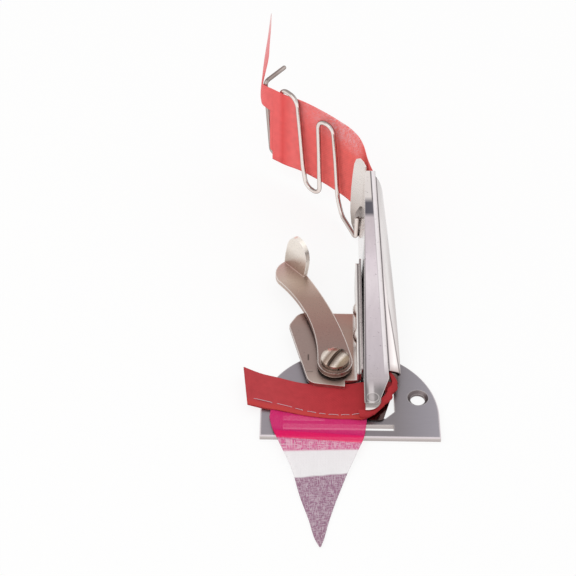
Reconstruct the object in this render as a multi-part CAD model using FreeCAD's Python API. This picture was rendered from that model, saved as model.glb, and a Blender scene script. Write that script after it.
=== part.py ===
# Right-angle tape binder on its needle plate, millimetres, +Z up.
# Origin: midway between the plate's two fixing holes, on its underside.
# The tape comes in along -Y, is folded in the long nose and leaves along -X.
import FreeCAD, Part
import os
from math import asin, atan2, cos, degrees, hypot, pi, radians, sin, sqrt, tan

Vec = FreeCAD.Vector
UP = Vec(0, 0, 1)

# Needle plate
plate_t = 2.2
plate_r = 33.7              # half of the round end's width
plate_arc_y = -9.0          # centre of the round end
plate_front_y = -20.2
plate_bevel = 0.4
fixing_x = 26.0             # half the spacing of the fixing holes
fixing_r = 2.8
fixing_head_r = 3.95
feed_slot_x = (-25.0, 16.3)
feed_slot_y = (-16.9, -14.1)
short_slot_x = (-25.0, -9.4)
short_slot_y = (-12.4, -10.1)
needle_hole_x = -4.5
needle_hole_y = -9.0
needle_hole_r = 0.9
relief_x = (1.0, 16.9)      # opening under the nose of the folder
relief_y = (-10.9, 4.0)
relief_cut = 3.5            # chamfer of its front right corner

# Pivot and its stack, all on one vertical axis
pivot_x = -5.5
pivot_y = 13.0
shoulder_r = 3.0
thread_r = 2.45
thread_hole_r = 2.5
pivot_play = 0.1            # radial play of what turns on the shoulder
spacer_h = 1.2
spacer_r = 6.0
base_t = 1.5
wave_h = 1.1
wave_t = 0.4
wave_r = 5.6
lever_t = 2.0
washer_t = 0.6
washer_r = 5.7
lock_t = 0.8
lock_r = 5.1
head_h = 2.2
head_rim_h = 0.8
head_r = 5.4
head_slot_w = 1.3
head_slot_depth = 1.1
head_slot_turn = 57.0       # degrees from +X

# Bracket: flat base with an upright flange along its right edge
base_back_y = 42.6
base_left_x = -23.4
base_front_left = (-15.6, 4.6)
base_front_right = (-1.8, 2.8)
base_step_y = 5.9
base_corner_r = 4.5
flange_x = 2.9              # left face of the flange
flange_front_y = 6.2
flange_back_y = 59.6
flange_front_top = 9.3
flange_back_top = 18.0
flange_bend_r = 1.0
flange_corner_r = 2.0

# Release lever, flat strip with a tab bent up at its end
boss_r = 6.7
lever_right = ((-4.5, 35.2), (-16.9, 60.2))     # middle and end of the arm's right edge
lever_left = ((-15.7, 36.6), (-27.9, 58.1))
lever_lobe = (-29.1, 63.6)
tab_corner = (-25.8, 69.2)
tab_turn = -48.0            # direction of the tab's fold line, degrees from +X
tab_w = 12.4
tab_h = 16.8                # above the arm's underside
tab_lean = 6.0

# Rivets through the flange, backing strip and folder wall
rivet_places = ((25.6, 9.4), (38.2, 11.2))
rivet_head_r = 3.1
rivet_head_h = 1.3
rivet_r = 1.5

# Folder
sheet = 0.5                 # thickness of the folded sheets
wall_t = 0.6                # side wall and cover strip
backing_t = 0.8
backing_front_y = 8.0
backing_back_y = 62.0
backing_z = 6.0
gap = 0.15                  # clearance on each side of the tape
seat = 0.05                 # gap between sheets that are soldered face to face
nose_z = 2.4                # underside of the folder, just clear of the plate
nose_h = 5.0                # height of the cover strip's top above it at the nose
entry_h = 36.2              # the same at the entry
ramp_y = 5.0                # the cover strip starts to climb here
scroll_y = 9.0              # the outer scroll is cut off here
entry_y = 91.5
wall_front_y = 6.6          # the side wall stops here, so that the strip can leave
wall_lean = 0.036           # sideways lean of the side wall for each mm of height
scroll_w = 13.7             # width of the scroll at the nose
scroll_entry_w = 8.2
scroll_power = 1.5          # how late the scroll widens
cover_x = (15.0, 10.8)      # right edge of the cover strip at the nose and the entry
cover_front_y = -8.0
cover_front_x = 10.7
former_front_y = -9.4
former_back_y = 72.0
former_tongue_x = 13.4      # its two tongues in the nose reach this far to the right
former_web_y = 14.0         # the inner former is open to the left in front of this
lip_front_y = -12.3
lip_right_front_x = 12.4
lip_right_back_x = 16.0
lip_left_x = 6.4
stations = (0.0, 0.25, 0.5, 0.75, 1.0)

# Rolled edge where the tape turns, an arc from the nose's front left to its back right
fold_x = -6.3
fold_y = 11.5
fold_r = 25.8
fold_turn = (-61.0, -19.0)  # degrees from +X
fold_bulge = 0.7            # how far the roll stands out past the arc

# Entry cheek, a plate flared to the left of the entry
cheek_turn = 133.0          # degrees from +X
cheek_outline = ((0.0, 3.0), (2.5, 4.1), (4.6, 7.4), (5.8, 13.0), (6.3, 19.1), (6.5, 25.7),
                 (6.4, 33.0), (6.1, 38.5), (5.2, 41.6), (3.6, 42.8), (1.8, 42.2), (0.0, 40.6))

# Wire guide, corners as x, y, z and bend radius, from its free end to the cheek
wire_d = 1.6
wire_route = ((-27.1, 150.0, 47.6, 0), (-34.9, 140.6, 46.8, 1.8), (-32.3, 139.1, 10.5, 2.4),
              (-28.4, 135.9, 10.5, 2.4), (-28.2, 135.6, 47.4, 4.4), (-21.4, 127.7, 47.4, 4.8),
              (-19.6, 126.2, 28.0, 60), (-18.4, 124.6, 14.0, 20), (-16.8, 123.2, 4.2, 4.2),
              (-11.0, 117.1, 4.2, 3.8), (-11.7, 118.2, 26.0, 60), (-12.5, 119.3, 43.2, 3.8),
              (-6.3, 113.9, 43.2, 4.0), (-4.7, 112.4, 26.0, 60), (-3.4, 110.4, 8.5, 9.0),
              (-1.4, 105.0, 2.8, 6.0), (4.2, 91.0, 2.7, 2.2), (4.3, 90.2, 13.6, 0))
wire_facets = 12
wire_step = 25.0            # most degrees of bend for each facet along it
solder_z = (5.0, 19.0)
solder_reach = 3.2

# Binding tape
tape_t = 0.3
tape_w = 37.5               # cut width, standing on edge at the guide
tape_z = 8.6                # its lower edge at the guide
tape_points = 15            # points across the tape
tape_tail_y = 147.0         # the loose tail starts here
tape_tail = 47.0            # its length
tail_points = ((-33.4, 1.0, 0.2, 1.2), (-33.45, 0.78, 1.2, 5.5), (-33.8, 0.5, 2.2, 9.0),
               (-34.1, 0.25, 2.6, 10.5))   # x, share of the tail, lean to -X, width
tape_trail = ((-35.2, 149.0, 1.9, 11.0), (-36.2, 143.5, 0.6, 10.5), (-35.9, 139.9, 0.1, 10.8),
              (-34.1, 138.0, 0.0, 11.2), (-32.2, 136.7, 0.0, 12.0), (-31.7, 136.3, 0.0, 37.5),
              (-26.2, 132.2, 0.0, 37.5), (-19.4, 128.3, 0.0, 37.5), (-12.4, 122.8, 0.0, 37.5),
              (-4.9, 115.8, 0.0, 37.5), (1.7, 108.3, 0.0, 37.5), (5.6, 99.5, 0.0, 37.5))
tape_end = ((-31.5, 136.0), (-32.2, 136.9), (-32.75, 138.0))   # turned-back end below the tail
tape_end_z = (13.5, 33.0)
tape_spans = 8              # facets along it in the folder
tape_entry_cut = 9.0        # degrees by which the tape stops short of the scroll's ends

# Sewn strip that leaves to the left: front and back edge of its mid-surface, from the nose on
strip_gap = 0.25
strip_stations = (((-1.8, -11.8, 2.86), (-1.8, 5.6, 2.86)),
                  ((-8.0, -11.8, 2.86), (-8.0, 5.5, 2.86)),
                  ((-15.0, -11.0, 2.86), (-15.0, 5.4, 2.86)),
                  ((-27.0, -8.3, 2.86), (-27.0, 8.4, 2.86)),
                  ((-32.0, -7.2, 2.88), (-32.5, 10.0, 2.95)),
                  ((-38.6, -5.9, 3.5), (-40.6, 12.6, 4.3)))
strip_inner_back_y = 4.6    # its back and right edges inside the nose
strip_inner_right_x = 14.0

# Pennant of thin cloth sewn into the strip: y, left x, right x, z
pennant_t = 0.15
pennant_stations = ((-6.0, -29.6, -2.6, 2.86), (-11.9, -29.9, -2.2, 2.86), (-12.5, -29.5, 5.6, 2.86),
                    (-20.0, -27.4, 5.0, 2.86), (-27.0, -25.2, 2.4, 2.5), (-35.0, -22.6, -1.0, 1.2),
                    (-44.0, -19.9, -4.2, 0.5), (-68.0, -12.9, -9.9, 0.5), (-70.0, -11.6, -10.8, 0.5))

base_z = plate_t + spacer_h
lever_z = base_z + base_t + wave_h
washer_z = lever_z + lever_t
lock_z = washer_z + washer_t
head_z = lock_z + lock_t
turn_r = shoulder_r + pivot_play
wall_x = flange_x + base_t + backing_t    # left face of the folder's side wall
trail = [(x, tape_tail_y + tape_tail * share, *rest) for x, share, *rest in tail_points]
trail += tape_trail


def save(shape, name):
    """Check one sub-part and write its STEP file."""
    if shape.ShapeType == "Compound" and len(shape.Solids) == 1:
        shape = shape.Solids[0]
    assert shape.isValid() and shape.Volume > 0, name
    shape.exportStep(os.path.join("parts", name + ".step"))
    print("%-16s %2d solid(s) %9.1f mm3" % (name, len(shape.Solids), shape.Volume))


def rounded(corners):
    """Closed wire in the XY plane from (x, y) or (x, y, radius) corners."""
    points = [Vec(c[0], c[1], 0) for c in corners]
    radii = [c[2] if len(c) > 2 else 0.0 for c in corners]
    return Part.Wire(path_edges(points, radii, closed=True))


def path_edges(points, radii, closed=False):
    """Straight runs joined by tangent arcs, one radius for each point."""
    count = len(points)
    starts = []
    ends = []
    arcs = []
    for i, (point, radius) in enumerate(zip(points, radii)):
        inner = closed or 0 < i < count - 1
        if not inner or radius <= 0:
            starts.append(point)
            ends.append(point)
            arcs.append(None)
            continue
        to_last = (points[i - 1] - point).normalize()
        to_next = (points[(i + 1) % count] - point).normalize()
        half = to_last.getAngle(to_next) / 2
        if half > pi / 2 - 1e-4:
            starts.append(point)
            ends.append(point)
            arcs.append(None)
            continue
        cut = radius / tan(half)
        room = min((points[i - 1] - point).Length, (points[(i + 1) % count] - point).Length)
        cut = min(cut, 0.48 * room)
        radius = cut * tan(half)
        middle = (to_last + to_next).normalize()
        centre = point + middle * (radius / sin(half))
        starts.append(point + to_last * cut)
        ends.append(point + to_next * cut)
        arcs.append(Part.Arc(starts[-1], centre - middle * radius, ends[-1]).toShape())
    edges = []
    for i in range(count):
        if arcs[i]:
            edges.append(arcs[i])
        if i == count - 1 and not closed:
            break
        target = starts[(i + 1) % count]
        if (ends[i] - target).Length > 1e-6:
            edges.append(Part.LineSegment(ends[i], target).toShape())
    return edges


def slab(corners, z_low, z_high):
    """Flat plate of the given outline between two heights."""
    face = Part.Face(rounded(corners))
    face.translate(UP * z_low)
    return face.extrude(UP * (z_high - z_low))


def block(x, y, z):
    """Box between pairs of limits."""
    return Part.makeBox(x[1] - x[0], y[1] - y[0], z[1] - z[0], Vec(x[0], y[0], z[0]))


def disc(x, y, z_low, z_high, radius):
    """Upright cylinder."""
    return Part.makeCylinder(radius, z_high - z_low, Vec(x, y, z_low))


def on_pivot(z_low, z_high, radius, bore=0.0):
    """Disc or ring on the pivot's axis."""
    shape = disc(pivot_x, pivot_y, z_low, z_high, radius)
    if bore:
        shape = shape.cut(disc(pivot_x, pivot_y, z_low - 1, z_high + 1, bore))
    return shape


def polygon(points):
    """Closed wire through points."""
    return Part.makePolygon(points + [points[0]])


def ruled(wires):
    """Solid between closed wires with straight rulings."""
    return Part.makeLoft(wires, True, True)


# Heights and widths that every sheet of the folder shares

def cover_top(y):
    """Height of the cover strip's top face at y."""
    share = max(0.0, (y - ramp_y) / (entry_y - ramp_y))
    return nose_z + nose_h + (entry_h - nose_h) * share


def wall_left(z):
    """Left face of the leaning side wall at height z."""
    return wall_x + wall_lean * (z - nose_z)


def scroll_size(share):
    """Place, width, half height and centre height of the scroll's outer face.

    share is 0 where the ramp starts and 1 at the entry.
    """
    y = ramp_y + (entry_y - ramp_y) * share
    top = cover_top(y) - wall_t - seat
    width = scroll_w + (scroll_entry_w - scroll_w) * share ** scroll_power
    return y, width, (top - nose_z) / 2, (top + nose_z) / 2


def scroll_point(share, inset, angle, y=None):
    """Point of the scroll's section, a half ellipse that leans with the wall."""
    at, width, half, middle = scroll_size(share)
    z = middle + (half - inset) * sin(radians(angle))
    x = wall_left(z) + wall_t + gap + (width - inset) * cos(radians(angle))
    return Vec(x, at if y is None else y, z)


def scroll_arc(share, inset, first=90.0, last=-90.0, y=None, count=13):
    """Smooth edge along the half ellipse."""
    angles = [first + (last - first) * i / (count - 1) for i in range(count)]
    curve = Part.BSplineCurve()
    curve.interpolate([scroll_point(share, inset, a, y) for a in angles])
    return curve.toShape()


def band(share, outer, inner, y=None):
    """Closed section between two insets, open to the left."""
    out = scroll_arc(share, outer, y=y)
    back = scroll_arc(share, inner, -90.0, 90.0, y=y)
    first = Part.LineSegment(out.Vertexes[-1].Point, back.Vertexes[0].Point).toShape()
    last = Part.LineSegment(back.Vertexes[-1].Point, out.Vertexes[0].Point).toShape()
    return Part.Wire([out, first, back, last])


def share_at(y):
    """Share of the way from the start of the ramp to the entry."""
    return (y - ramp_y) / (entry_y - ramp_y)


def shell(outer, inner, y_front, y_back):
    """Curved sheet of the folder between two insets, lofted through its stations."""
    start = share_at(y_front)
    length = share_at(y_back) - start
    return Part.makeLoft([band(start + length * s, outer, inner) for s in stations], True, False)


def nose_shell(outer, inner, y_front, offset):
    """The nose section of a sheet, carried straight and ended offset past the fold's arc."""
    face = Part.Face(band(0.0, outer, inner, y=y_front))
    return inside_fold(face.extrude(Vec(0, ramp_y - y_front, 0)), offset)


def inside_fold(shape, offset):
    """What lies inside the fold's arc, moved out by offset."""
    return shape.common(disc(fold_x, fold_y, nose_z - 5, nose_z + 20, fold_r + offset))


# Fixed pieces

def needle_plate():
    """D-shaped plate with its holes, feed slots and the relief under the nose."""
    corners = [Vec(-plate_r, plate_front_y, 0), Vec(plate_r, plate_front_y, 0),
               Vec(plate_r, plate_arc_y, 0), Vec(-plate_r, plate_arc_y, 0)]
    edges = [Part.LineSegment(corners[0], corners[1]).toShape(),
             Part.LineSegment(corners[1], corners[2]).toShape(),
             Part.Arc(corners[2], Vec(0, plate_arc_y + plate_r, 0), corners[3]).toShape(),
             Part.LineSegment(corners[3], corners[0]).toShape()]
    plate = Part.Face(Part.Wire(edges)).extrude(UP * plate_t)
    rim = [e for e in plate.Edges if e.BoundBox.ZMin > plate_t - 1e-6]
    plate = plate.makeChamfer(plate_bevel, rim)
    for side in (-1, 1):
        x = side * fixing_x
        plate = plate.cut(disc(x, 0, -1, plate_t + 1, fixing_r))
        sink = fixing_head_r - fixing_r
        plate = plate.cut(Part.makeCone(fixing_r, fixing_head_r, sink, Vec(x, 0, plate_t - sink)))
    for x, y in ((feed_slot_x, feed_slot_y), (short_slot_x, short_slot_y)):
        plate = plate.cut(block(x, y, (-1, plate_t + 1)))
    plate = plate.cut(disc(needle_hole_x, needle_hole_y, -1, plate_t + 1, needle_hole_r))
    left, right = relief_x
    front, back = relief_y
    relief = [(left, front), (right - relief_cut, front), (right, front + relief_cut),
              (right, back), (left, back)]
    plate = plate.cut(slab(relief, -1, plate_t + 1))
    return plate.cut(disc(pivot_x, pivot_y, -1, plate_t + 1, thread_hole_r))


def pivot_screw():
    """Slotted screw with a domed head, a shoulder and a threaded end."""
    rise = head_h - head_rim_h
    dome_r = (head_r ** 2 + rise ** 2) / (2 * rise)
    dome = Part.makeSphere(dome_r, Vec(pivot_x, pivot_y, head_z + head_h - dome_r))
    head = on_pivot(head_z, head_z + head_h, head_r).common(dome)
    slot = block((-head_r - 1, head_r + 1), (-head_slot_w / 2, head_slot_w / 2),
                 (head_z + head_h - head_slot_depth, head_z + head_h + 1))
    slot.rotate(Vec(0, 0, 0), UP, head_slot_turn)
    slot.translate(Vec(pivot_x, pivot_y, 0))
    shank = on_pivot(plate_t, head_z, shoulder_r).fuse(on_pivot(0.1, plate_t, thread_r))
    return head.cut(slot).fuse(shank).removeSplitter()


def lock_washer():
    """Split spring washer under the screw's head."""
    ring = on_pivot(lock_z, head_z, lock_r, shoulder_r + 0.05)
    split = block((0, lock_r + 1), (-0.3, 0.3), (lock_z - 1, head_z + 1))
    split.rotate(Vec(0, 0, 0), UP, -75)
    split.translate(Vec(pivot_x, pivot_y, 0))
    return ring.cut(split)


# Pieces that swing with the folder

def bracket():
    """Base with rounded corners and an upright flange, folded from one sheet."""
    low = base_z
    high = base_z + base_t
    right = flange_x + base_t
    outline = [(base_left_x, 35.6, 3.0), (-19.6, base_back_y, base_corner_r),
               (right - flange_bend_r, base_back_y), (right - flange_bend_r, base_step_y + 0.3),
               (base_front_right[0], base_step_y), base_front_right,
               (base_front_left[0], base_front_left[1], base_corner_r)]
    base = slab(outline, low, high).cut(on_pivot(low - 1, high + 1, turn_r))
    side = [Vec(flange_x, flange_front_y, low + flange_bend_r),
            Vec(flange_x, flange_front_y, flange_front_top),
            Vec(flange_x, flange_back_y, flange_back_top),
            Vec(flange_x, flange_back_y, low + flange_bend_r)]
    edges = path_edges(side, [0, flange_corner_r, flange_corner_r, 4.0], closed=True)
    flange = Part.Face(Part.Wire(edges)).extrude(Vec(base_t, 0, 0))
    bend = block((right - flange_bend_r, right), (flange_front_y, base_back_y),
                 (low, low + flange_bend_r))
    keep = Part.makeCylinder(flange_bend_r, base_back_y - flange_front_y,
                             Vec(right - flange_bend_r, flange_front_y, low + flange_bend_r),
                             Vec(0, 1, 0))
    shape = base.fuse([flange, bend.common(keep)])
    for y, z in rivet_places:
        shape = shape.cut(Part.makeCylinder(rivet_r, 10, Vec(flange_x - 5, y, z), Vec(1, 0, 0)))
    return shape.removeSplitter()


def backing_strip():
    """Doubler between the flange and the folder's side wall."""
    left = flange_x + base_t
    rise = (flange_back_top - flange_front_top) / (flange_back_y - flange_front_y)
    front_top = flange_front_top + rise * (backing_front_y - flange_front_y)
    back_top = flange_back_top + rise * (backing_back_y - flange_back_y)
    side = [Vec(left, backing_front_y, backing_z - 1.2), Vec(left, backing_front_y, front_top),
            Vec(left, backing_back_y, back_top), Vec(left, backing_back_y, backing_z)]
    face = Part.Face(Part.Wire(path_edges(side, [0, 1.0, 2.0, 2.0], closed=True)))
    strip = face.extrude(Vec(backing_t - seat, 0, 0))
    for y, z in rivet_places:
        strip = strip.cut(Part.makeCylinder(rivet_r, 10, Vec(left - 5, y, z), Vec(1, 0, 0)))
    return strip


def flange_rivets():
    """Round-headed rivets, heads on the lever's side."""
    rivets = []
    ball = (rivet_head_r ** 2 + rivet_head_h ** 2) / (2 * rivet_head_h)
    for y, z in rivet_places:
        head = Part.makeCylinder(rivet_head_r, rivet_head_h, Vec(flange_x - rivet_head_h, y, z),
                                 Vec(1, 0, 0))
        head = head.common(Part.makeSphere(ball, Vec(flange_x - rivet_head_h + ball, y, z)))
        shank = Part.makeCylinder(rivet_r, base_t + backing_t - seat, Vec(flange_x, y, z),
                                  Vec(1, 0, 0))
        rivets.append(head.fuse(shank).removeSplitter())
    return Part.makeCompound(rivets)


def wave_washer():
    """Wavy spring washer between the base and the lever."""
    low = base_z + base_t
    waves = 3
    steps = 36
    rise = wave_h - wave_t
    rings = []
    for i in range(steps):
        angle = 2 * pi * i / steps
        lift = rise * (1 - cos(waves * angle)) / 2
        inner = Vec(pivot_x + turn_r * cos(angle), pivot_y + turn_r * sin(angle), low + lift)
        outer = Vec(pivot_x + wave_r * cos(angle), pivot_y + wave_r * sin(angle), low + lift)
        rings.append(polygon([inner, outer, outer + UP * wave_t, inner + UP * wave_t]))
    halves = [ruled(rings[:steps // 2 + 1]), ruled(rings[steps // 2:] + rings[:1])]
    return halves[0].fuse(halves[1]).removeSplitter()


def folder_cover():
    """Side wall and cover strip of the folder, one sheet, with the nose cut to a point."""
    wires = []
    low = nose_z
    for y in (wall_front_y, entry_y):
        top = cover_top(y)
        corners = [Vec(wall_left(low), y, low), Vec(wall_left(low) + wall_t, y, low),
                   Vec(wall_left(top) + wall_t, y, top), Vec(wall_left(top), y, top)]
        wires.append(polygon(corners))
    wall = ruled(wires)
    wires = []
    for y, right in ((ramp_y, cover_x[0]), (entry_y, cover_x[1])):
        top = cover_top(y)
        corners = [Vec(wall_left(top), y, top - wall_t), Vec(right, y, top - wall_t),
                   Vec(right, y, top), Vec(wall_left(top), y, top)]
        wires.append(polygon(corners))
    ramp = ruled(wires)
    top = cover_top(ramp_y)
    nose = [(wall_left(top), ramp_y), (cover_x[0], ramp_y), (cover_front_x, cover_front_y, 0.4),
            (wall_left(top), cover_front_y, 0.6)]
    return wall.fuse([ramp, slab(nose, top - wall_t, top)]).removeSplitter()


def outer_scroll():
    """Curved outer sheet, with its bottom carried forward as the lower lip."""
    scroll = shell(0.0, sheet, scroll_y, entry_y)
    left = wall_left(nose_z) + wall_t + gap
    lip = [(left, scroll_y + 1.5), (left, wall_front_y), (lip_left_x, wall_front_y - 1.5),
           (lip_left_x, lip_front_y, 1.5), (lip_right_front_x, lip_front_y, 1.8),
           (lip_right_back_x, 0.0), (lip_right_back_x - 1.5, scroll_y + 1.5)]
    return scroll.fuse(slab(lip, nose_z, nose_z + sheet)).removeSplitter()


def former_insets():
    """Outer and inner inset of the inner former."""
    outer = sheet + 2 * gap + tape_t
    return outer, outer + sheet


def inner_former():
    """Folded sheet inside the tape, open to the left at the nose for the cloth."""
    outer, inner = former_insets()
    former = shell(outer, inner, ramp_y, former_back_y)
    tongues = nose_shell(outer, inner, former_front_y, -tape_t - gap)
    keep = block((wall_x - 5, former_tongue_x), (former_front_y - 1, ramp_y + 1), (0, nose_z + nose_h))
    former = former.fuse(tongues.common(keep))
    wires = []
    for y in (former_web_y, former_back_y):
        half, middle = scroll_size(share_at(y))[2:]
        low = middle - half + outer
        high = middle + half - outer
        near = wall_t
        far = wall_t + gap + sheet
        wires.append(polygon([Vec(wall_left(low) + near, y, low), Vec(wall_left(low) + far, y, low),
                              Vec(wall_left(high) + far, y, high),
                              Vec(wall_left(high) + near, y, high)]))
    return former.fuse(ruled(wires)).removeSplitter()


def entry_cheek():
    """Plate flared to the left in front of the entry, soldered to the side wall."""
    turn = radians(cheek_turn)
    along = Vec(cos(turn), sin(turn), 0)
    wires = []
    for shift in (0.0, wall_t):
        points = []
        for reach, z in cheek_outline:
            points.append(Vec(wall_left(z) + shift, entry_y, z) + along * reach)
        wires.append(polygon(points))
    return ruled(wires)


def wire_ring(point, heading, side):
    """Closed section of the wire across its heading, as large as the round wire."""
    radius = wire_d / 2 * sqrt(2 * pi / wire_facets / sin(2 * pi / wire_facets))
    other = heading.cross(side)
    turns = [2 * pi * i / wire_facets for i in range(wire_facets)]
    return polygon([point + side * (radius * cos(a)) + other * (radius * sin(a)) for a in turns])


def wire_guide():
    """Bent wire that the tape is laced through."""
    edges = path_edges([Vec(*p[:3]) for p in wire_route], [p[3] for p in wire_route])
    spots = []
    for edge in edges:
        bend = 0.0
        if edge.Curve.TypeId == "Part::GeomCircle":
            bend = degrees(edge.Length / edge.Curve.Radius)
        count = 1 + int(bend / wire_step)
        for i in range(count):
            at = edge.FirstParameter + (edge.LastParameter - edge.FirstParameter) * i / count
            spots.append((edge.valueAt(at), edge.tangentAt(at)))
    last = edges[-1]
    spots.append((last.valueAt(last.LastParameter), last.tangentAt(last.LastParameter)))
    side = spots[0][1].cross(UP).normalize()
    rings = []
    for point, heading in spots:
        side = (side - heading * side.dot(heading)).normalize()
        rings.append(wire_ring(point, heading, side))
    tube = ruled(rings)
    length = sum(e.Length for e in edges)
    print("wire length %.1f, volume over section %.1f" % (length, tube.Volume / (pi * wire_d ** 2 / 4)))
    return tube


def solder_joint(wire, wall, cheek):
    """Bead of solder in the corner that holds the wire's end to the wall and the cheek."""
    turn = radians(cheek_turn)
    along = Vec(cos(turn), sin(turn), 0)
    rings = []
    for share, size in ((0.0, 0.4), (0.3, 1.0), (0.7, 0.95), (1.0, 0.35)):
        z = solder_z[0] + (solder_z[1] - solder_z[0]) * share
        corner = Vec(wall_left(z) + wall_t / 2, entry_y, z)
        far = corner + along * solder_reach * size
        rings.append(polygon([corner + Vec(0, -0.4 - 1.6 * size, 0), corner, far,
                              far + Vec(-0.4, -0.4 - 1.3 * size, 0)]))
    return ruled(rings).cut([wire, wall, cheek])


# Soft pieces

def tape_section(share, y=None):
    """Points across the tape where it enters the folder, with their outward directions."""
    inset = sheet + gap + tape_t / 2
    stop = 90.0 - tape_entry_cut * share
    points = []
    for i in range(tape_points):
        angle = stop - 2 * stop * i / (tape_points - 1)
        near = scroll_point(share, inset, angle, y)
        out = scroll_point(share, inset - 0.5, angle, y) - near
        points.append((near, Vec(out.x, 0, out.z).normalize()))
    return points


def upright_section(index):
    """Points across the tape where it stands on edge, with their directions."""
    x, y, lean, width = trail[index]
    last = trail[max(index - 1, 0)]
    after = trail[min(index + 1, len(trail) - 1)]
    heading = Vec(after[0] - last[0], after[1] - last[1], 0).normalize()
    out = Vec(-heading.y, heading.x, 0)
    points = []
    for i in range(tape_points):
        down = i / (tape_points - 1)
        points.append((Vec(x - lean * down, y, tape_z + tape_w - width * down), out))
    return points


def tape_wire(section):
    """Closed wire of the tape's thickness round its mid-surface points."""
    half = tape_t / 2
    outside = [p + n * half for p, n in section]
    inside = [p - n * half for p, n in section]
    return polygon(outside + inside[::-1])


def tape_fold():
    """Rolled edge where the tape turns round the nose's slanted arc."""
    inset = sheet + gap
    width, half, middle = scroll_size(0.0)[1:]
    left = wall_left(middle) + wall_t + gap
    first, last = fold_turn
    rings = []
    for share in (0.0, 0.25, 0.5, 0.75, 0.92, 1.0):
        turn = radians(first + (last - first) * share)
        out = Vec(cos(turn), sin(turn), 0)
        spot = Vec(fold_x, fold_y, middle) + out * fold_r
        across = min(0.99, (spot.x - left) / (width - inset))
        high = max(0.6, (half - inset) * sqrt(1 - across ** 2))
        points = []
        for layer in (0.0, tape_t):
            arc = []
            for i in range(9):
                angle = radians(90 - 180 * i / 8)
                arc.append(spot + out * ((fold_bulge + 0.4 - layer) * cos(angle) - 0.4)
                           + UP * ((high - layer) * sin(angle)))
            points += arc if layer == 0.0 else arc[::-1]
        rings.append(polygon(points))
    return ruled(rings)


def strip_ring(front, back):
    """Folded section of the sewn strip: two layers joined at the back."""
    half = strip_gap / 2
    outer = half + tape_t
    front = Vec(*front)
    back = Vec(*back)
    nose = back - (back - front).normalize() * outer
    return polygon([front + UP * half, nose + UP * half, nose - UP * half, front - UP * half,
                    front - UP * outer, nose - UP * outer, back - UP * half, back + UP * half,
                    nose + UP * outer, front + UP * outer])


def turned_end():
    """The tape's cut end, turned back below its tail."""
    points = [Vec(x, y, tape_end_z[0]) for x, y in tape_end]
    shifted = [p + Vec(tape_t, 0, 0) for p in points]
    return Part.Face(polygon(points + shifted[::-1])).extrude(UP * (tape_end_z[1] - tape_end_z[0]))


def binding_tape():
    """The tape in one piece, from its loose tail to the end of the sewn strip."""
    middle = scroll_size(0.0)[3]
    rings = [tape_wire(upright_section(i)) for i in range(len(trail))]
    rings += [tape_wire(tape_section(1 - i / tape_spans)) for i in range(tape_spans + 1)]
    nose_y = fold_y - fold_r
    nose = Part.Face(tape_wire(tape_section(0.0, nose_y))).extrude(Vec(0, ramp_y - nose_y, 0))
    front_y, back_y = [edge[1] for edge in strip_stations[0]]
    far_x = strip_inner_right_x
    inside = [strip_ring((far_x, front_y, middle), (far_x, strip_inner_back_y, middle)),
              strip_ring((wall_x, front_y, middle), (wall_x, back_y, middle))]
    inner_strip = inside_fold(ruled(inside), fold_bulge - tape_t / 2)
    rings_out = [strip_ring(*s) for s in strip_stations]
    down = ruled([inside[-1], rings_out[0]])
    return ruled(rings).fuse([inside_fold(nose, 0.0), tape_fold(), inner_strip, down,
                              ruled(rings_out), turned_end()])


def pennant():
    """Thin tapering cloth whose back edge lies in the strip."""
    rings = []
    for y, left, right, z in pennant_stations:
        half = pennant_t / 2
        rings.append(polygon([Vec(left, y, z - half), Vec(right, y, z - half),
                              Vec(right, y, z + half), Vec(left, y, z + half)]))
    return ruled(rings)


# Pieces of the lever

def tab_axes():
    """Directions along the tab's fold line and back from it."""
    turn = radians(tab_turn)
    along = Vec(cos(turn), sin(turn), 0)
    return along, Vec(-along.y, along.x, 0)


def arm_outline():
    """Curved arm from the boss to the tab, with a rounded lobe beside the tab."""
    under = tab_axes()[1] * (lever_t / 2)
    right = [Vec(pivot_x + boss_r, pivot_y + 1, 0), Vec(*lever_right[0], 0),
             Vec(*lever_right[1], 0) + under]
    left = [Vec(pivot_x - boss_r, pivot_y + 1, 0), Vec(*lever_left[0], 0), Vec(*lever_left[1], 0)]
    corner = Vec(*tab_corner, 0) + under
    edges = [Part.Arc(*right).toShape(), Part.LineSegment(right[2], corner).toShape(),
             Part.Arc(corner, Vec(*lever_lobe, 0), left[2]).toShape(),
             Part.Arc(left[2], left[1], left[0]).toShape(),
             Part.LineSegment(left[0], right[0]).toShape()]
    return Part.Wire(edges)


def release_lever():
    """Boss, curved arm and the thumb tab bent up at its end."""
    face = Part.Face(arm_outline())
    face.translate(UP * lever_z)
    arm = face.extrude(UP * lever_t)
    boss = on_pivot(lever_z, washer_z, boss_r)
    along, back = tab_axes()
    corner = Vec(*tab_corner, lever_z)
    lean = back * tan(radians(tab_lean))
    outline = [(0.0, 0.0), (0.0, 0.4), (0.05, 0.68), (0.14, 0.87), (0.3, 0.98), (0.5, 1.0),
               (0.72, 0.94), (0.88, 0.81), (0.97, 0.64), (0.99, 0.45), (0.96, 0.0)]
    points = [corner + along * (u * tab_w) + (UP + lean) * (h * tab_h) for u, h in outline]
    curve = Part.BSplineCurve()
    curve.interpolate(points[1:])
    edges = [curve.toShape(), Part.LineSegment(points[-1], points[0]).toShape(),
             Part.LineSegment(points[0], points[1]).toShape()]
    tab = Part.Face(Part.Wire(edges)).extrude(back * lever_t)
    lever = arm.fuse([boss, tab])
    return lever.cut(on_pivot(lever_z - 1, washer_z + 1, turn_r)).removeSplitter()


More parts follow.
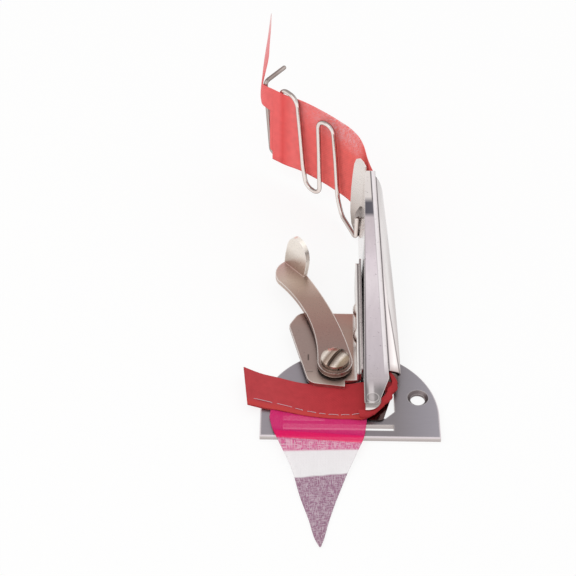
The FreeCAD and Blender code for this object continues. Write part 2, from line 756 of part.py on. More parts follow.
os.makedirs("parts", exist_ok=True)
wire = wire_guide()
cover = folder_cover()
cheek = entry_cheek()
PARTS = {
    "needle_plate": needle_plate(),
    "pivot_screw": pivot_screw(),
    "pivot_spacer": on_pivot(plate_t, base_z, spacer_r, shoulder_r + 0.05),
    "flat_washer": on_pivot(washer_z, lock_z, washer_r, shoulder_r + 0.05),
    "lock_washer": lock_washer(),
    "bracket": bracket(),
    "wave_washer": wave_washer(),
    "backing_strip": backing_strip(),
    "flange_rivets": flange_rivets(),
    "folder_cover": cover,
    "outer_scroll": outer_scroll(),
    "inner_former": inner_former(),
    "entry_cheek": cheek,
    "wire_guide": wire,
    "solder_joint": solder_joint(wire, cover, cheek),
    "binding_tape": binding_tape(),
    "pennant": pennant(),
    "release_lever": release_lever(),
}
for part_name, part_shape in PARTS.items():
    save(part_shape, part_name)
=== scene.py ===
import logging
import math
from dataclasses import dataclass, field
from enum import Enum
from typing import Any, NamedTuple, Optional

import bmesh
import bpy
import numpy as np
from mathutils import Matrix, Vector


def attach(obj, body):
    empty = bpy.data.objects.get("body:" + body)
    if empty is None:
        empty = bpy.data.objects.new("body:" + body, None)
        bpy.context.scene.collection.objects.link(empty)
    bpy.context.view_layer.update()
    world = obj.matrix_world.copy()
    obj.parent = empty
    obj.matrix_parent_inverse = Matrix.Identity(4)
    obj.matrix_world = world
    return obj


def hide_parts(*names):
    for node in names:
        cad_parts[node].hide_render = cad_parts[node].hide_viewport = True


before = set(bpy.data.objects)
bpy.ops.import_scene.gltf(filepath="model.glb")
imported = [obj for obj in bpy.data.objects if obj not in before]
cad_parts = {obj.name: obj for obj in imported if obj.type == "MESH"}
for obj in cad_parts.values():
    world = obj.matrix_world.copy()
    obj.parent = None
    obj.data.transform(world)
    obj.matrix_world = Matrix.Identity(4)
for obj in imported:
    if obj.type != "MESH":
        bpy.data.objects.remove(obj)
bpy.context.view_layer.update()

# Right-angle tape binder on its needle plate, laced with a red bias tape. All sizes are in mm,
# in the frame of the solid model: X to the right, Y from the nose to the entry, Z up.

LOG = logging.getLogger("binder")
MM = 0.001
MERGE = 0.004           # mm within which points of one piece are one
WAVE_LENGTH = 0.314     # length of one wave of the wave texture at scale 1
NOISE_SPAN = (0.3, 0.7)     # levels that most of a noise texture lies between
SPECKS = (0.66, 0.72)       # levels over which its peaks come to show as specks
# The painted highlight on sharp metal edges comes in over these cosines
EDGE_HIGHLIGHT = (0.995, 0.93)      # cosine from bevel to face, on the flat and on a sharp edge
Pair = tuple[float, float]
Triple = tuple[float, float, float]
Rows = tuple[tuple[float, ...], ...]
Stops = dict[float, str]
Tree = bpy.types.NodeTree
Node = bpy.types.Node


class Body(Enum):
    """The moving bodies of the solid model that a piece can ride on."""

    PLATE = "plate"
    BINDER = "binder"
    LEVER = "lever"


class Measure(Enum):
    """What a tone follows: a place on the object, or the way a face looks."""

    PLACE_X = ("Object", 0)
    PLACE_Y = ("Object", 1)
    PLACE_Z = ("Object", 2)
    RADIUS = ("Object", 3)
    FACING_X = ("Normal", 0)
    FACING_Z = ("Normal", 2)


# Colours and nodes

def linear(colour: str) -> tuple[float, ...]:
    """Turn an sRGB hex colour into linear RGBA.

    Args:
        colour: six hex digits after a hash.

    Returns:
        Red, green, blue and alpha as the nodes take them.
    """
    parts = [int(colour[i:i + 2], 16) / 255 for i in (1, 3, 5)]
    curve = [c / 12.92 if c <= 0.04045 else ((c + 0.055) / 1.055) ** 2.4 for c in parts]
    return (*curve, 1.0)


def feed(tree: Tree, node: Node, inputs: dict) -> None:
    """Give a node's inputs their links and values.

    Args:
        tree: node tree that holds the node.
        node: the node.
        inputs: what each input gets, by name or number: a socket, a node for its first open
            output, a hex colour or a plain value.
    """
    for key, value in inputs.items():
        if isinstance(value, Node):
            value = next(output for output in value.outputs if output.enabled)
        if isinstance(value, bpy.types.NodeSocket):
            tree.links.new(value, node.inputs[key])
        else:
            node.inputs[key].default_value = linear(value) if isinstance(value, str) else value


def add_node(tree: Tree, kind: str, inputs: Optional[dict] = None,
             stops: Optional[Stops] = None, **settings: Any) -> Node:
    """Add one shader node.

    Args:
        tree: node tree that takes the node.
        kind: Blender's type name of the node, after ShaderNode.
        inputs: links and values of its inputs, as feed takes them.
        stops: colours of a colour ramp by place, spread from 0 to 1.
        settings: properties of the node itself.

    Returns:
        The new node.
    """
    node = tree.nodes.new("ShaderNode" + kind)
    for key, value in settings.items():
        setattr(node, key, value)
    feed(tree, node, inputs or {})
    if stops:
        points = node.color_ramp.elements
        points.remove(points[1])
        low, high = min(stops), max(stops)
        for at, colour in stops.items():
            place = (at - low) / (high - low)
            point = points.new(place) if at > low else points[0]
            point.position = place
            point.color = linear(colour)
    return node


def new_tree(holder: Any) -> Tree:
    """Give a material or a world an empty node tree.

    Args:
        holder: the material or world.

    Returns:
        Its node tree.
    """
    holder.use_nodes = True
    holder.node_tree.nodes.clear()
    return holder.node_tree


def new_material(name: str, roughness: float, metallic: float
                 ) -> tuple[bpy.types.Material, Tree, Node]:
    """Make a material with a plain shader that links can be added to.

    Args:
        name: name of the real finish.
        roughness: typical roughness of that finish.
        metallic: 1 for bare metal, else 0.

    Returns:
        The material, its node tree and its shader node.
    """
    material = bpy.data.materials.new(name)
    tree = new_tree(material)
    shader = add_node(tree, "BsdfPrincipled", {"Roughness": roughness, "Metallic": metallic})
    add_node(tree, "OutputMaterial", {"Surface": shader})
    return material, tree, shader


@dataclass(frozen=True)
class Probe:
    """A measure taken from an origin in mm, in axes turned about Z by some degrees."""

    what: Measure
    origin: Triple = (0, 0, 0)
    turn: float = 0

    def share(self, tree: Tree, low: float, high: float, top: float = 1) -> Node:
        """Give a factor that rises from 0 to top as the measure goes from low to high.

        Args:
            tree: node tree of the material.
            low: value that gives 0, in mm or as part of a unit normal.
            high: value that gives top.
            top: greatest factor.

        Returns:
            The node with the factor.
        """
        kind, index = self.what.value
        unit = MM if kind == "Object" else 1
        found = add_node(tree, "TexCoord").outputs[kind]
        if kind == "Object":
            found = add_node(tree, "Mapping",
                             {"Vector": found, "Location": [v * MM for v in self.origin],
                              "Rotation": (0, 0, math.radians(self.turn))}, vector_type="TEXTURE")
        if self.what is Measure.RADIUS:
            flat = add_node(tree, "VectorMath", {0: found, 1: (1, 1, 0)}, operation="MULTIPLY")
            found = add_node(tree, "VectorMath", {0: flat}, operation="LENGTH")
        else:
            found = add_node(tree, "SeparateXYZ", {0: found}).outputs[index]
        return add_node(tree, "MapRange", {"Value": found, "From Min": low * unit,
                                           "From Max": high * unit, "To Max": top})


X, Y, Z = Probe(Measure.PLACE_X), Probe(Measure.PLACE_Y), Probe(Measure.PLACE_Z)
LEFT_RIGHT, UPWARD = Probe(Measure.FACING_X), Probe(Measure.FACING_Z)


@dataclass(frozen=True)
class Tone:
    """Colours along one probe, laid over the tones before it where all its masks agree.

    stops gives colours by mm. A mask is a probe with two values, 0 to 1 between them, or
    with four, up over the first two and down over the last two. strength caps the whole.
    """

    along: Probe
    stops: Stops
    masks: tuple[tuple, ...] = ()
    strength: float = 1

    def lay(self, tree: Tree, below: Optional[Node]) -> Node:
        """Add the tone's nodes over the colour below it.

        Args:
            tree: node tree of the material.
            below: node with the colour so far, or None for the first tone.

        Returns:
            The node with the new colour.
        """
        share = self.along.share(tree, min(self.stops), max(self.stops))
        ramp = add_node(tree, "ValToRGB", {0: share}, self.stops)
        if below is None:
            return ramp
        mask: Any = self.strength
        for probe, *limits in self.masks:
            rise, fall = limits[:2], limits[:1:-1]
            for ends in (rise, fall) if fall else (rise,):
                mask = add_node(tree, "Math", {0: mask, 1: probe.share(tree, *ends)},
                                operation="MULTIPLY")
        return add_node(tree, "Mix", {0: mask, 6: below, 7: ramp}, data_type="RGBA")


@dataclass(frozen=True)
class Metal:
    """A bare or plated metal: layered tones, and a grain left by how it was made.

    grain is the size in mm of its marks along X, Y and Z, shade how dark they are, relief
    how deep they look in mm, gloss the spread of roughness that they bring, and pits how
    dark its scattered specks are. Sharp edges take rim's share of a bright colour: a painted
    highlight along them, partly standing for rubbed wear.
    """

    name: str
    tones: tuple[Tone, ...]
    roughness: float
    grain: Triple
    shade: float
    relief: float = 0.02
    gloss: float = 0.06
    pits: float = 0
    rim: float = 0
    rim_width: float = 0.7
    rim_highlight_colour: str = "#efe8e3"
    pit_colour: str = "#3c3433"
    pit_scale: float = 1100

    def material(self) -> bpy.types.Material:
        """Build the material of this finish.

        Returns:
            The new material.
        """
        material, tree, shader = new_material(self.name, self.roughness, 1)
        colour = None
        for tone in self.tones:
            colour = tone.lay(tree, colour)
        place = add_node(tree, "TexCoord").outputs["Object"]
        scale = [1 / (MM * size) for size in self.grain]
        mapped = add_node(tree, "Mapping", {"Vector": place, "Scale": scale})
        noise = add_node(tree, "TexNoise", {"Vector": mapped, "Scale": 1, "Detail": 3})
        marks = {"Value": noise, "From Min": NOISE_SPAN[0], "From Max": NOISE_SPAN[1]}
        grey = add_node(tree, "MapRange",
                        {**marks, "To Min": 1 - self.shade, "To Max": 1 + self.shade})
        colour = add_node(tree, "Mix", {0: 1, 6: colour, 7: grey}, data_type="RGBA",
                          blend_type="MULTIPLY")
        specks = add_node(tree, "TexNoise", {"Vector": place, "Scale": self.pit_scale})
        dots = add_node(tree, "MapRange", {"Value": specks, "From Min": SPECKS[0],
                                           "From Max": SPECKS[1], "To Max": self.pits})
        colour = add_node(tree, "Mix", {0: dots, 6: colour, 7: self.pit_colour},
                          data_type="RGBA")
        # Painted highlight on sharp edges, partly rubbed wear, found with the bevel node
        if self.rim:
            bent = add_node(tree, "Bevel", {"Radius": self.rim_width * MM}, samples=6)
            flat = add_node(tree, "NewGeometry").outputs["True Normal"]
            agree = add_node(tree, "VectorMath", {0: bent, 1: flat}, operation="DOT_PRODUCT")
            edge = add_node(tree, "MapRange", {"Value": agree, "From Min": EDGE_HIGHLIGHT[0],
                                               "From Max": EDGE_HIGHLIGHT[1], "To Max": self.rim})
            colour = add_node(tree, "Mix", {0: edge, 6: colour, 7: self.rim_highlight_colour},
                              data_type="RGBA")
        rough = add_node(tree, "MapRange", {**marks, "To Min": self.roughness - self.gloss,
                                            "To Max": self.roughness + self.gloss})
        bump = add_node(tree, "Bump",
                        {"Height": noise, "Strength": 0.3, "Distance": self.relief * MM})
        feed(tree, shader, {"Base Color": colour, "Roughness": rough, "Normal": bump})
        return material


@dataclass(frozen=True)
class BrightWire:
    """Drawn and nickelled wire: a bright middle, and both edges mirror dark surroundings.

    shades are the probes, with their limits, along which it mirrors the dark to the right
    and above. Its hook, from hook_x on, stands in its own shade.
    """

    name: str = "bright nickelled wire"
    roughness: float = 0.18
    middle: str = "#f8f2ee"
    flank: str = "#eaddd6"
    turned: str = "#a08f89"
    edge: str = "#564a47"
    shade: str = "#6a5a56"
    shades: tuple[tuple, ...] = ((LEFT_RIGHT, 0.45, 0.85), (UPWARD, 0.35, 0.9))
    hook: str = "#8d7d79"
    hook_x: Pair = (-27.5, -30.5)

    def material(self) -> bpy.types.Material:
        """Build the material of this finish.

        Returns:
            The new material.
        """
        material, tree, shader = new_material(self.name, self.roughness, 1)
        facing = add_node(tree, "LayerWeight", {"Blend": 0.35}).outputs["Facing"]
        colour = add_node(tree, "ValToRGB", {0: facing}, {0: self.middle, 0.3: self.flank,
                                                          0.6: self.turned, 1: self.edge})
        colour = add_node(tree, "Mix",
                          {0: X.share(tree, *self.hook_x, 0.6), 6: colour, 7: self.hook},
                          data_type="RGBA", blend_type="MULTIPLY")
        for probe, *limits in self.shades:
            colour = add_node(tree, "Mix",
                              {0: probe.share(tree, *limits, 0.75), 6: colour, 7: self.shade},
                              data_type="RGBA")
        feed(tree, shader, {"Base Color": colour})
        return material


class Weave(NamedTuple):
    """Nodes that a cloth's own colours start from."""

    place: Node
    split: Node
    along: Node
    bands: Node
    threads: Node
    strays: Node


@dataclass(frozen=True)
class Cloth:
    """Plain-woven cloth, coloured in bands along its length.

    Its UV map holds mm across (u) and mm along (v). Real threads are too fine to show, so
    these are drawn coarser: pitch is the mm from one to the next, turn their angle to the
    map, and wobble how the texture bends them. Stray pale threads are noise drawn out both
    ways: fineness is its scale along and across one, and stray the levels between which
    it shows. cover is the share of light that the cloth stops.
    """

    name: str
    bands: Stops
    roughness: float
    pitch: float
    turn: float
    wobble: dict[str, float]
    fineness: Pair
    stray: Pair
    relief: float
    cover: float = 1

    def colour(self, tree: Tree, weave: Weave) -> Node:
        """Give the bands' plain colour, which each cloth works further."""
        return weave.bands

    def material(self) -> bpy.types.Material:
        """Build the material of this cloth.

        Returns:
            The new material.
        """
        material, tree, shader = new_material(self.name, self.roughness, 0)
        place = add_node(tree, "UVMap", uv_map="cloth")
        split = add_node(tree, "SeparateXYZ", {0: place})
        along = add_node(tree, "MapRange", {"Value": split.outputs[1], "From Max": max(self.bands)})
        bands = add_node(tree, "ValToRGB", {0: along}, self.bands)
        turned = add_node(tree, "Mapping",
                          {"Vector": place, "Rotation": (0, 0, math.radians(self.turn))})
        scale = {"Vector": turned, "Scale": WAVE_LENGTH / self.pitch}
        warp, weft = (add_node(tree, "TexWave", {**scale, **self.wobble}, bands_direction=axis)
                      for axis in "XY")
        threads = add_node(tree, "Math", {0: warp.outputs[1], 1: weft.outputs[1]},
                           operation="MULTIPLY")
        strays: Any = 0
        for way in ((*self.fineness, 1), (*self.fineness[::-1], 1)):
            drawn = add_node(tree, "Mapping", {"Vector": turned, "Scale": way})
            noise = add_node(tree, "TexNoise", {"Vector": drawn, "Scale": 1})
            shown = add_node(tree, "MapRange", {"Value": noise, "From Min": self.stray[0],
                                                "From Max": self.stray[1], "To Max": 0.75})
            strays = add_node(tree, "Math", {0: strays, 1: shown}, operation="MAXIMUM")
        colour = self.colour(tree, Weave(place, split, along, bands, threads, strays))
        bump = add_node(tree, "Bump",
                        {"Height": threads, "Strength": self.relief, "Distance": 0.1 * MM})
        feed(tree, shader, {"Base Color": colour, "Normal": bump, "Alpha": self.cover,
                            "Specular IOR Level": 0.12})
        return material


@dataclass(frozen=True)
class BiasTape(Cloth):
    """Cotton cut across its threads, fluffy, with a thin worn stretch and a fold's edge.

    thin gives, for u (0) and v (1), the mm between which the stray threads grow from none
    to full, and hem_u the mm between which the hem takes its darker colour.
    """

    gauze: str = "#eebfc3"
    thin: tuple[tuple[int, float, float], ...] = ((0, 13, 5), (1, 70, 96), (1, 118, 110))
    hem: str = "#c4443f"
    hem_u: Pair = (-34, -35.4)

    def colour(self, tree: Tree, weave: Weave) -> Node:
        """Work fluff, worn stretch and hem into the bands.

        Args:
            tree: node tree of the material.
            weave: nodes to start from.

        Returns:
            The node with the colour.
        """
        fluff = add_node(tree, "TexNoise", {"Vector": weave.place, "Scale": 0.35, "Detail": 4})
        both = add_node(tree, "Math", {0: weave.threads, 1: 0.35, 2: fluff},
                        operation="MULTIPLY_ADD")
        grey = add_node(tree, "MapRange", {"Value": both, "From Min": 0.3, "From Max": 1,
                                           "To Min": 0.86, "To Max": 1.08})
        colour = add_node(tree, "Mix", {0: 1, 6: weave.bands, 7: grey}, data_type="RGBA",
                          blend_type="MULTIPLY")
        worn = weave.strays
        for index, low, high in self.thin:
            limit = add_node(tree, "MapRange", {"Value": weave.split.outputs[index],
                                                "From Min": low, "From Max": high})
            worn = add_node(tree, "Math", {0: worn, 1: limit}, operation="MULTIPLY")
        colour = add_node(tree, "Mix", {0: worn, 6: colour, 7: self.gauze}, data_type="RGBA")
        low, high = self.hem_u
        hem = add_node(tree, "MapRange", {"Value": weave.split, "From Min": low,
                                          "From Max": high, "To Max": 0.6})
        return add_node(tree, "Mix", {0: hem, 6: colour, 7: self.hem}, data_type="RGBA")


@dataclass(frozen=True)
class BandedVoile(Cloth):
    """Thin open cotton, dyed across its length; mottle is how much its threads show."""

    mottle: Stops = field(default_factory=dict)
    pale: str = "#f3e6ec"
    slub: str = "#6d3358"

    def colour(self, tree: Tree, weave: Weave) -> Node:
        """Work pale threads and dark slubs into the bands.

        Args:
            tree: node tree of the material.
            weave: nodes to start from.

        Returns:
            The node with the colour.
        """
        level = add_node(tree, "ValToRGB", {0: weave.along}, self.mottle)
        flecks = add_node(tree, "TexNoise", {"Vector": weave.place, "Scale": 1.3, "Detail": 1})
        slubs = add_node(tree, "MapRange",
                         {"Value": flecks, "From Min": 0.6, "From Max": 0.7, "To Max": 0.55})
        colour = weave.bands
        for mark, paint in ((weave.strays, self.pale), (slubs, self.slub)):
            mark = add_node(tree, "Math", {0: mark, 1: level}, operation="MULTIPLY")
            colour = add_node(tree, "Mix", {0: mark, 6: colour, 7: paint}, data_type="RGBA")
        return colour


@dataclass(frozen=True)
class SewingThread:
    """Twisted polyester sewing thread, pale pink, with the dark dips of its twist.

    twist is the mm from one dip to the next, and slant their angle in radians.
    """

    name: str = "pale polyester sewing thread"
    roughness: float = 0.6
    twist: float = 0.45
    slant: float = 0.7
    dip: str = "#a9808c"
    strand: str = "#d8bcc6"

    def material(self) -> bpy.types.Material:
        """Build the material of this finish.

        Returns:
            The new material.
        """
        material, tree, shader = new_material(self.name, self.roughness, 0)
        place = add_node(tree, "TexCoord").outputs["Object"]
        mapped = add_node(tree, "Mapping", {"Vector": place, "Scale": (1 / MM, 1 / MM, 1 / MM),
                                            "Rotation": (0, 0, self.slant)})
        wave = add_node(tree, "TexWave", {"Vector": mapped, "Scale": WAVE_LENGTH / self.twist})
        ramp = add_node(tree, "ValToRGB", {0: wave.outputs[1]}, {0: self.dip, 1: self.strand})
        feed(tree, shader, {"Base Color": ramp})
        return material


# Finishes, each with the sheen that its making leaves, and with painted light, shade and
# reflections

FIXING_HOLE = Probe(Measure.RADIUS, (26, 0, 0))
NOSE_SPOT = Probe(Measure.RADIUS, (8.5, -4.9, 0))
COVER_EDGE = Probe(Measure.PLACE_X, (15, 5, 0), 2.78)
SCREW_SLOT = Probe(Measure.PLACE_Y, (-5.5, 13, 0), 57)
SCREW_LIGHT = Probe(Measure.PLACE_X, (-5.5, 13, 0), -35)
ROLL_REFLECTION = Probe(Measure.PLACE_X, (15.2, 38, 0), 8)

PLATE_STEEL = Metal(
    # Surface-ground steel: grey with faint cross lines. Painted shade darkens it around and under
    # the folder's nose and in the fixing hole's countersink; painted highlights brighten its
    # chamfers and the upper part of its side faces
    name="surface-ground steel",
    tones=(Tone(X, {-34: "#979096", 0: "#8a8489", 17: "#857f82", 26: "#938e94", 34: "#9d989f"}),
           Tone(X, {0: "#6f6767", 20: "#776f70"}, ((Y, -8, -6.5, 4, 7), (X, -1, 0.5, 16, 19)), 0.5),
           Tone(Y, {-22: "#d8cdd2", 24: "#c3b8be"}, ((UPWARD, 0.97, 0.8),)),
           Tone(Z, {0: "#b3a9a8", 2.2: "#d9d0cd"}, ((UPWARD, 0.5, 0.2),)),
           Tone(X, {20: "#6a6061", 32: "#7b7172"}, ((FIXING_HOLE, 4.3, 4.1), (UPWARD, 0.97, 0.8)))),
    roughness=0.4, grain=(9, 0.35, 2), shade=0.04, rim=0.3)

BRACKET_NICKEL = Metal(
    # Nickel on stamped sheet: warm grey with a satin tumble. The flange's left face is painted
    # light and beyond it painted shade, the base's front is painted lighter against the shade under
    # the lever, and its back carries a painted reddish reflection of the tape
    name="satin nickel plate",
    tones=(Tone(X, {-24: "#98837d", -12: "#95827c", 1.6: "#a3877c", 2.4: "#d8d2cf", 3.3: "#e6e1df",
                3.5: "#8a8180", 4.5: "#7a7170"}),
           Tone(X, {-17: "#4b403b", -13: "#4b403b"}, ((X, -16.1, -15.9, -15.5, -15.3),
                (Y, 16.2, 16.6, 19.4, 19.8)), 0.8),
           Tone(X, {-17: "#4b403b", -13: "#5b4f49"}, ((X, -16.4, -16.1, -14, -13.7),
                (Y, 10, 10.2, 10.5, 10.7)), 0.7),
           Tone(X, {-24: "#ae9e95", 1: "#c2b1a7"}, ((Y, 12, 4), (X, 2.4, 1.6)), 0.9),
           Tone(X, {-24: "#a0857d", 1: "#a97d73"}, ((Y, 33, 41), (X, 2.4, 1.6)), 0.7)),
    roughness=0.34, grain=(0.8, 0.8, 0.8), shade=0.05, pits=0.25, rim=0.85)

DOUBLER_NICKEL = Metal(
    # The same plating on the doubler in the shade between flange and folder: painted shade darkens
    # it towards the back, and dark specks mark it
    name="nickel plate in painted shade",
    tones=(Tone(Y, {8: "#b0a5a5", 36: "#ada2a2", 62: "#9c9292"}),),
    roughness=0.42, grain=(0.8, 2, 0.8), shade=0.12, pits=0.6)

LEVER_NICKEL = Metal(
    # The same nickel with painted reflections, lighter towards the lever's far end, and a painted
    # highlight that makes its upright tab brightest
    name="nickel plate with painted highlight",
    tones=(Tone(Y, {6: "#8c7872", 16: "#8d7771", 32: "#96776f", 48: "#a3897e", 58: "#c3b0a4",
                70: "#bd9d98"}),
           Tone(Z, {8: "#b3a397", 12: "#c6b9ae", 17: "#ece3da", 25: "#f1e9e0"}, ((Z, 8, 9),))),
    roughness=0.32, grain=(0.8, 0.8, 0.8), shade=0.05, pits=0.12, rim=0.85)

TURNED_NICKEL = Metal(
    # Nickel on the turned screw: painted highlights and shade in bands across its head, lit from
    # one side, and painted shade in its slot
    name="bright turned nickel",
    tones=(Tone(SCREW_LIGHT, {-5.4: "#b9aaa0", -3.6: "#e2d6cc", -2.2: "#8f7b6e", -0.8: "#b7a497",
                1: "#6f5e54", 2.6: "#d9ccc1", 3.6: "#95836f", 5.4: "#7d6a5e"}),
           Tone(SCREW_SLOT, {-0.7: "#2e2622", 0.1: "#3f3530", 0.7: "#7d6c61"},
                ((SCREW_SLOT, -0.72, -0.6, 0.6, 0.72), (Z, 9.9, 10.2)))),
    roughness=0.24, grain=(0.5, 0.5, 0.5), shade=0.12, pits=0.4)

NICKEL = Metal(
    # Nickel on pressed rings and rivets, banded front to back with painted highlights and painted
    # shade, darkest under the screw head
    name="bright nickel plate",
    tones=(Tone(Y, {6: "#efe4dc", 8.5: "#a99a8f", 10: "#cfc0b4", 13: "#9a8678", 16.5: "#b7a79c",
                24: "#e2dbd7", 40: "#d9d0cb"}),),
    roughness=0.26, grain=(0.4, 0.4, 0.4), shade=0.1, pits=0.3, rim=0.5, rim_width=0.25)

SPRING_STEEL = Metal(
    # Dark spring steel, painted lighter at its front edge and painted near black in the shade under
    # the screw head
    name="dark spring steel in painted shade",
    tones=(Tone(Y, {6: "#a08f84", 9: "#6a5a52", 13: "#5a4d48", 20: "#786a64"}),),
    roughness=0.32, grain=(0.4, 0.4, 0.4), shade=0.2)

POLISHED_SHEET = Metal(
    # Stainless sheet polished along its length, with painted reflections: long soft gradients, a
    # painted highlight along the cover's rim, a dark patch where it mirrors the wire, a grey nose
    # with a painted highlight down its middle, and its left face painted dark as shade, pale
    # towards the entry
    name="polished stainless sheet",
    tones=(Tone(Y, {-9: "#a9a1a1", 4: "#b9afb2", 12: "#c4babf", 30: "#cfc4c9", 44: "#e0d6da",
                52: "#dcd0d6", 62: "#cec2c7", 71: "#c9bdc1", 80: "#ddd5d2", 92: "#e4dcd8"}),
           Tone(X, {5.7: "#d8cfcc", 6.1: "#8d8585", 6.8: "#5f5959", 7.3: "#d9d0d0", 8.7: "#e2dadb",
                9.4: "#7d7878", 11: "#5d5c5b", 14.5: "#62605f", 15: "#a09999"}, ((Y, 3.5, -1),
                (UPWARD, 0.5, 0.8)), 0.6),
           Tone(NOSE_SPOT, {0: "#a39c9b", 1.5: "#8b8482", 1.9: "#5f5958", 2.3: "#e6dfdd",
                2.6: "#bdb4b2"}, ((NOSE_SPOT, 2.7, 2.5), (UPWARD, 0.5, 0.8)), 0.4),
           Tone(COVER_EDGE, {-9: "#4f4c52", -1.9: "#66636a", -1.6: "#d9d0d2", 0: "#e2dada"},
                ((Y, 71, 73, 77.5, 80), (X, 6.3, 6.7))),
           Tone(COVER_EDGE, {-1.9: "#8b8386", -1.45: "#efe8ea", -0.3: "#e6dee0", 0: "#7c7477"},
                ((COVER_EDGE, -1.9, -1.6), (Y, 6, 12))),
           Tone(COVER_EDGE, {-2.2: "#5d5658", -1.8: "#5d5658"},
                ((COVER_EDGE, -2.25, -2.05, -1.75, -1.6), (Y, 77, 79)), 0.85),
           Tone(X, {6: "#4f484a", 6.5: "#6a6364"}, ((X, 6.55, 6.35), (Y, 82, 76)), 0.7),
           Tone(Y, {6: "#7a7070", 58: "#6f6767", 64: "#ddd8d7", 92: "#e9e5e3"},
                ((LEFT_RIGHT, -0.4, -0.8),))),
    roughness=0.16, grain=(1.5, 30, 1.5), shade=0.03, relief=0.004, gloss=0.03, pits=0.3, rim=0.7,
    rim_width=0.5)

SCROLL_SHEET = Metal(
    # The same sheet rolled to a curve: painted pale towards the entry and dark as painted shade in
    # its mouth and inside. A dark lengthwise line and light and dark bands on its side are painted
    # reflections, and a painted shadow runs along the lap under the cover's edge
    name="rolled stainless sheet",
    tones=(Tone(Y, {-12.5: "#5b4a48", 3: "#4d3c3a", 8.6: "#5b4a47", 9.2: "#ae9f9c", 28: "#b5a7a7",
                48: "#d8cfce", 70: "#f5f1f0", 92: "#fbf9f8"}),
           Tone(COVER_EDGE, {0: "#5a5355", 0.55: "#6d6668", 0.9: "#cfc7c8"}, ((COVER_EDGE, 1, 0.7),
                (Y, 8, 10), (UPWARD, 0, 0.2))),
           Tone(COVER_EDGE, {0.9: "#dbd4d4", 2.6: "#f5f2f1", 4.8: "#e2dbd9"}, ((COVER_EDGE, 0.7, 1),
                (Y, 9, 12), (UPWARD, 0, 0.2)), 0.7),
           Tone(ROLL_REFLECTION, {-0.2: "#7a7070", 0.2: "#8d8383"},
                ((ROLL_REFLECTION, -0.35, -0.15, 0.15, 0.35), (Y, 40, 34), (UPWARD, 0, 0.2)), 0.8),
           Tone(Z, {2.4: "#8f8685", 9: "#bdb4b3", 16: "#9a9190", 26: "#c4bcbb", 34: "#aaa2a1"},
                ((LEFT_RIGHT, 0.7, 0.98), (Y, 8.8, 9.2)), 0.75),
           Tone(Y, {9: "#2c2120", 30: "#5a4b49", 92: "#8a7b79"}, ((LEFT_RIGHT, 0, -0.3),))),
    roughness=0.16, grain=(2, 30, 2), shade=0.03, relief=0.004, gloss=0.03)

TONGUE_SHEET = Metal(
    # Thin stainless sheet, with a painted highlight on its curved front and painted shade darkening
    # it back under the cover
    name="thin stainless with painted highlight",
    tones=(Tone(Y, {-11: "#f3edea", -10.3: "#e6dedb", -9.7: "#a79f9d", -7.8: "#8b8481",
                -5: "#6a6462"}),),
    roughness=0.22, grain=(0.6, 0.6, 0.6), shade=0.05, pits=0.2)

CHEEK_SHEET = Metal(
    # Cut stainless offcut, brushed before it was soldered on; darker towards the bottom
    name="brushed stainless offcut",
    tones=(Tone(Z, {3: "#8f8580", 10: "#a1968f", 17: "#cbc1bb", 26: "#ddd5d0", 36: "#e8e1dc",
                43: "#e4dcd7"}),),
    roughness=0.28, grain=(3, 3, 0.5), shade=0.04, pits=0.08)

SOFT_SOLDER = Metal(
    # Tin solder: dull grey, dimpled as it froze
    name="soft tin solder",
    tones=(Tone(Z, {5: "#a39b98", 9: "#d3cac6", 14: "#aaa19d", 19: "#7d7673"}),),
    roughness=0.42, grain=(0.9, 0.9, 0.9), shade=0.3, relief=0.3, pits=0.6)

BIAS_TAPE = BiasTape(
    # Plain cotton cut on the bias: coral along the guide and thin and pale towards its tail; deeper
    # red along the sewn strip, where two layers lie and painted shade darkens it; a darker stripe
    # beside a wire leg near its split end is painted shade
    name="woven cotton bias tape",
    bands={0: "#f6dedc", 16: "#f3a5a7", 40: "#f08283", 62: "#f36f6e", 65.5: "#f56f6e",
           67.5: "#ea5a59", 70: "#f46c6a", 73: "#f87977", 80: "#f8726f", 96: "#fb7671",
           116: "#f46c66", 140: "#b84748", 216: "#a2353a", 226: "#a83134", 244: "#b5363c",
           270: "#b94247"},
    roughness=0.82, pitch=0.9, turn=45, wobble={"Distortion": 0.6, "Detail Scale": 2},
    fineness=(0.35, 2.4), stray=(0.47, 0.62), relief=0.35)

BANDED_VOILE = BandedVoile(
    # Open-weave voile in magenta, pink, white and mauve; its magenta band where it lies over the
    # plate's front bevel is painted brighter, painted light from the bevel
    name="dyed cotton voile",
    bands={0: "#df1f70", 12: "#e0387c", 13.7: "#d91e70", 14.1: "#f01a6a", 17: "#f01a6a",
           17.5: "#d8468a", 20.5: "#d6528f", 21.1: "#f4eff1", 30.5: "#f5f2f3", 31.2: "#8f4f76",
           44: "#92577b", 64: "#8a4f70"},
    roughness=0.85, pitch=1, turn=0, wobble={"Distortion": 0.8, "Detail": 3},
    fineness=(0.45, 3), stray=(0.5, 0.6), relief=0.4, cover=0.68,
    mottle={0: "#303030", 13.7: "#303030", 14.1: "#101010", 17: "#202020", 17.5: "#d0d0d0",
            20.5: "#d0d0d0", 21.1: "#000000", 30.5: "#000000", 31.2: "#c8c8c8", 64: "#c8c8c8"})


# Grids and meshes

ARC_SHARE = 0.48        # most of the shorter run that a corner's arc may take
LEAST_CUT = 0.05        # mm below which a corner stays sharp
STRAIGHT = 1.56         # half angle in radians from which a corner counts as straight
DOME = np.radians([90, 65, 40, 20])     # latitudes of the rings of a rounded end


@dataclass
class Surface:
    """One grid of points in mm, rows by columns by three, with its cloth map in mm."""

    points: np.ndarray
    cloth: Optional[np.ndarray] = None


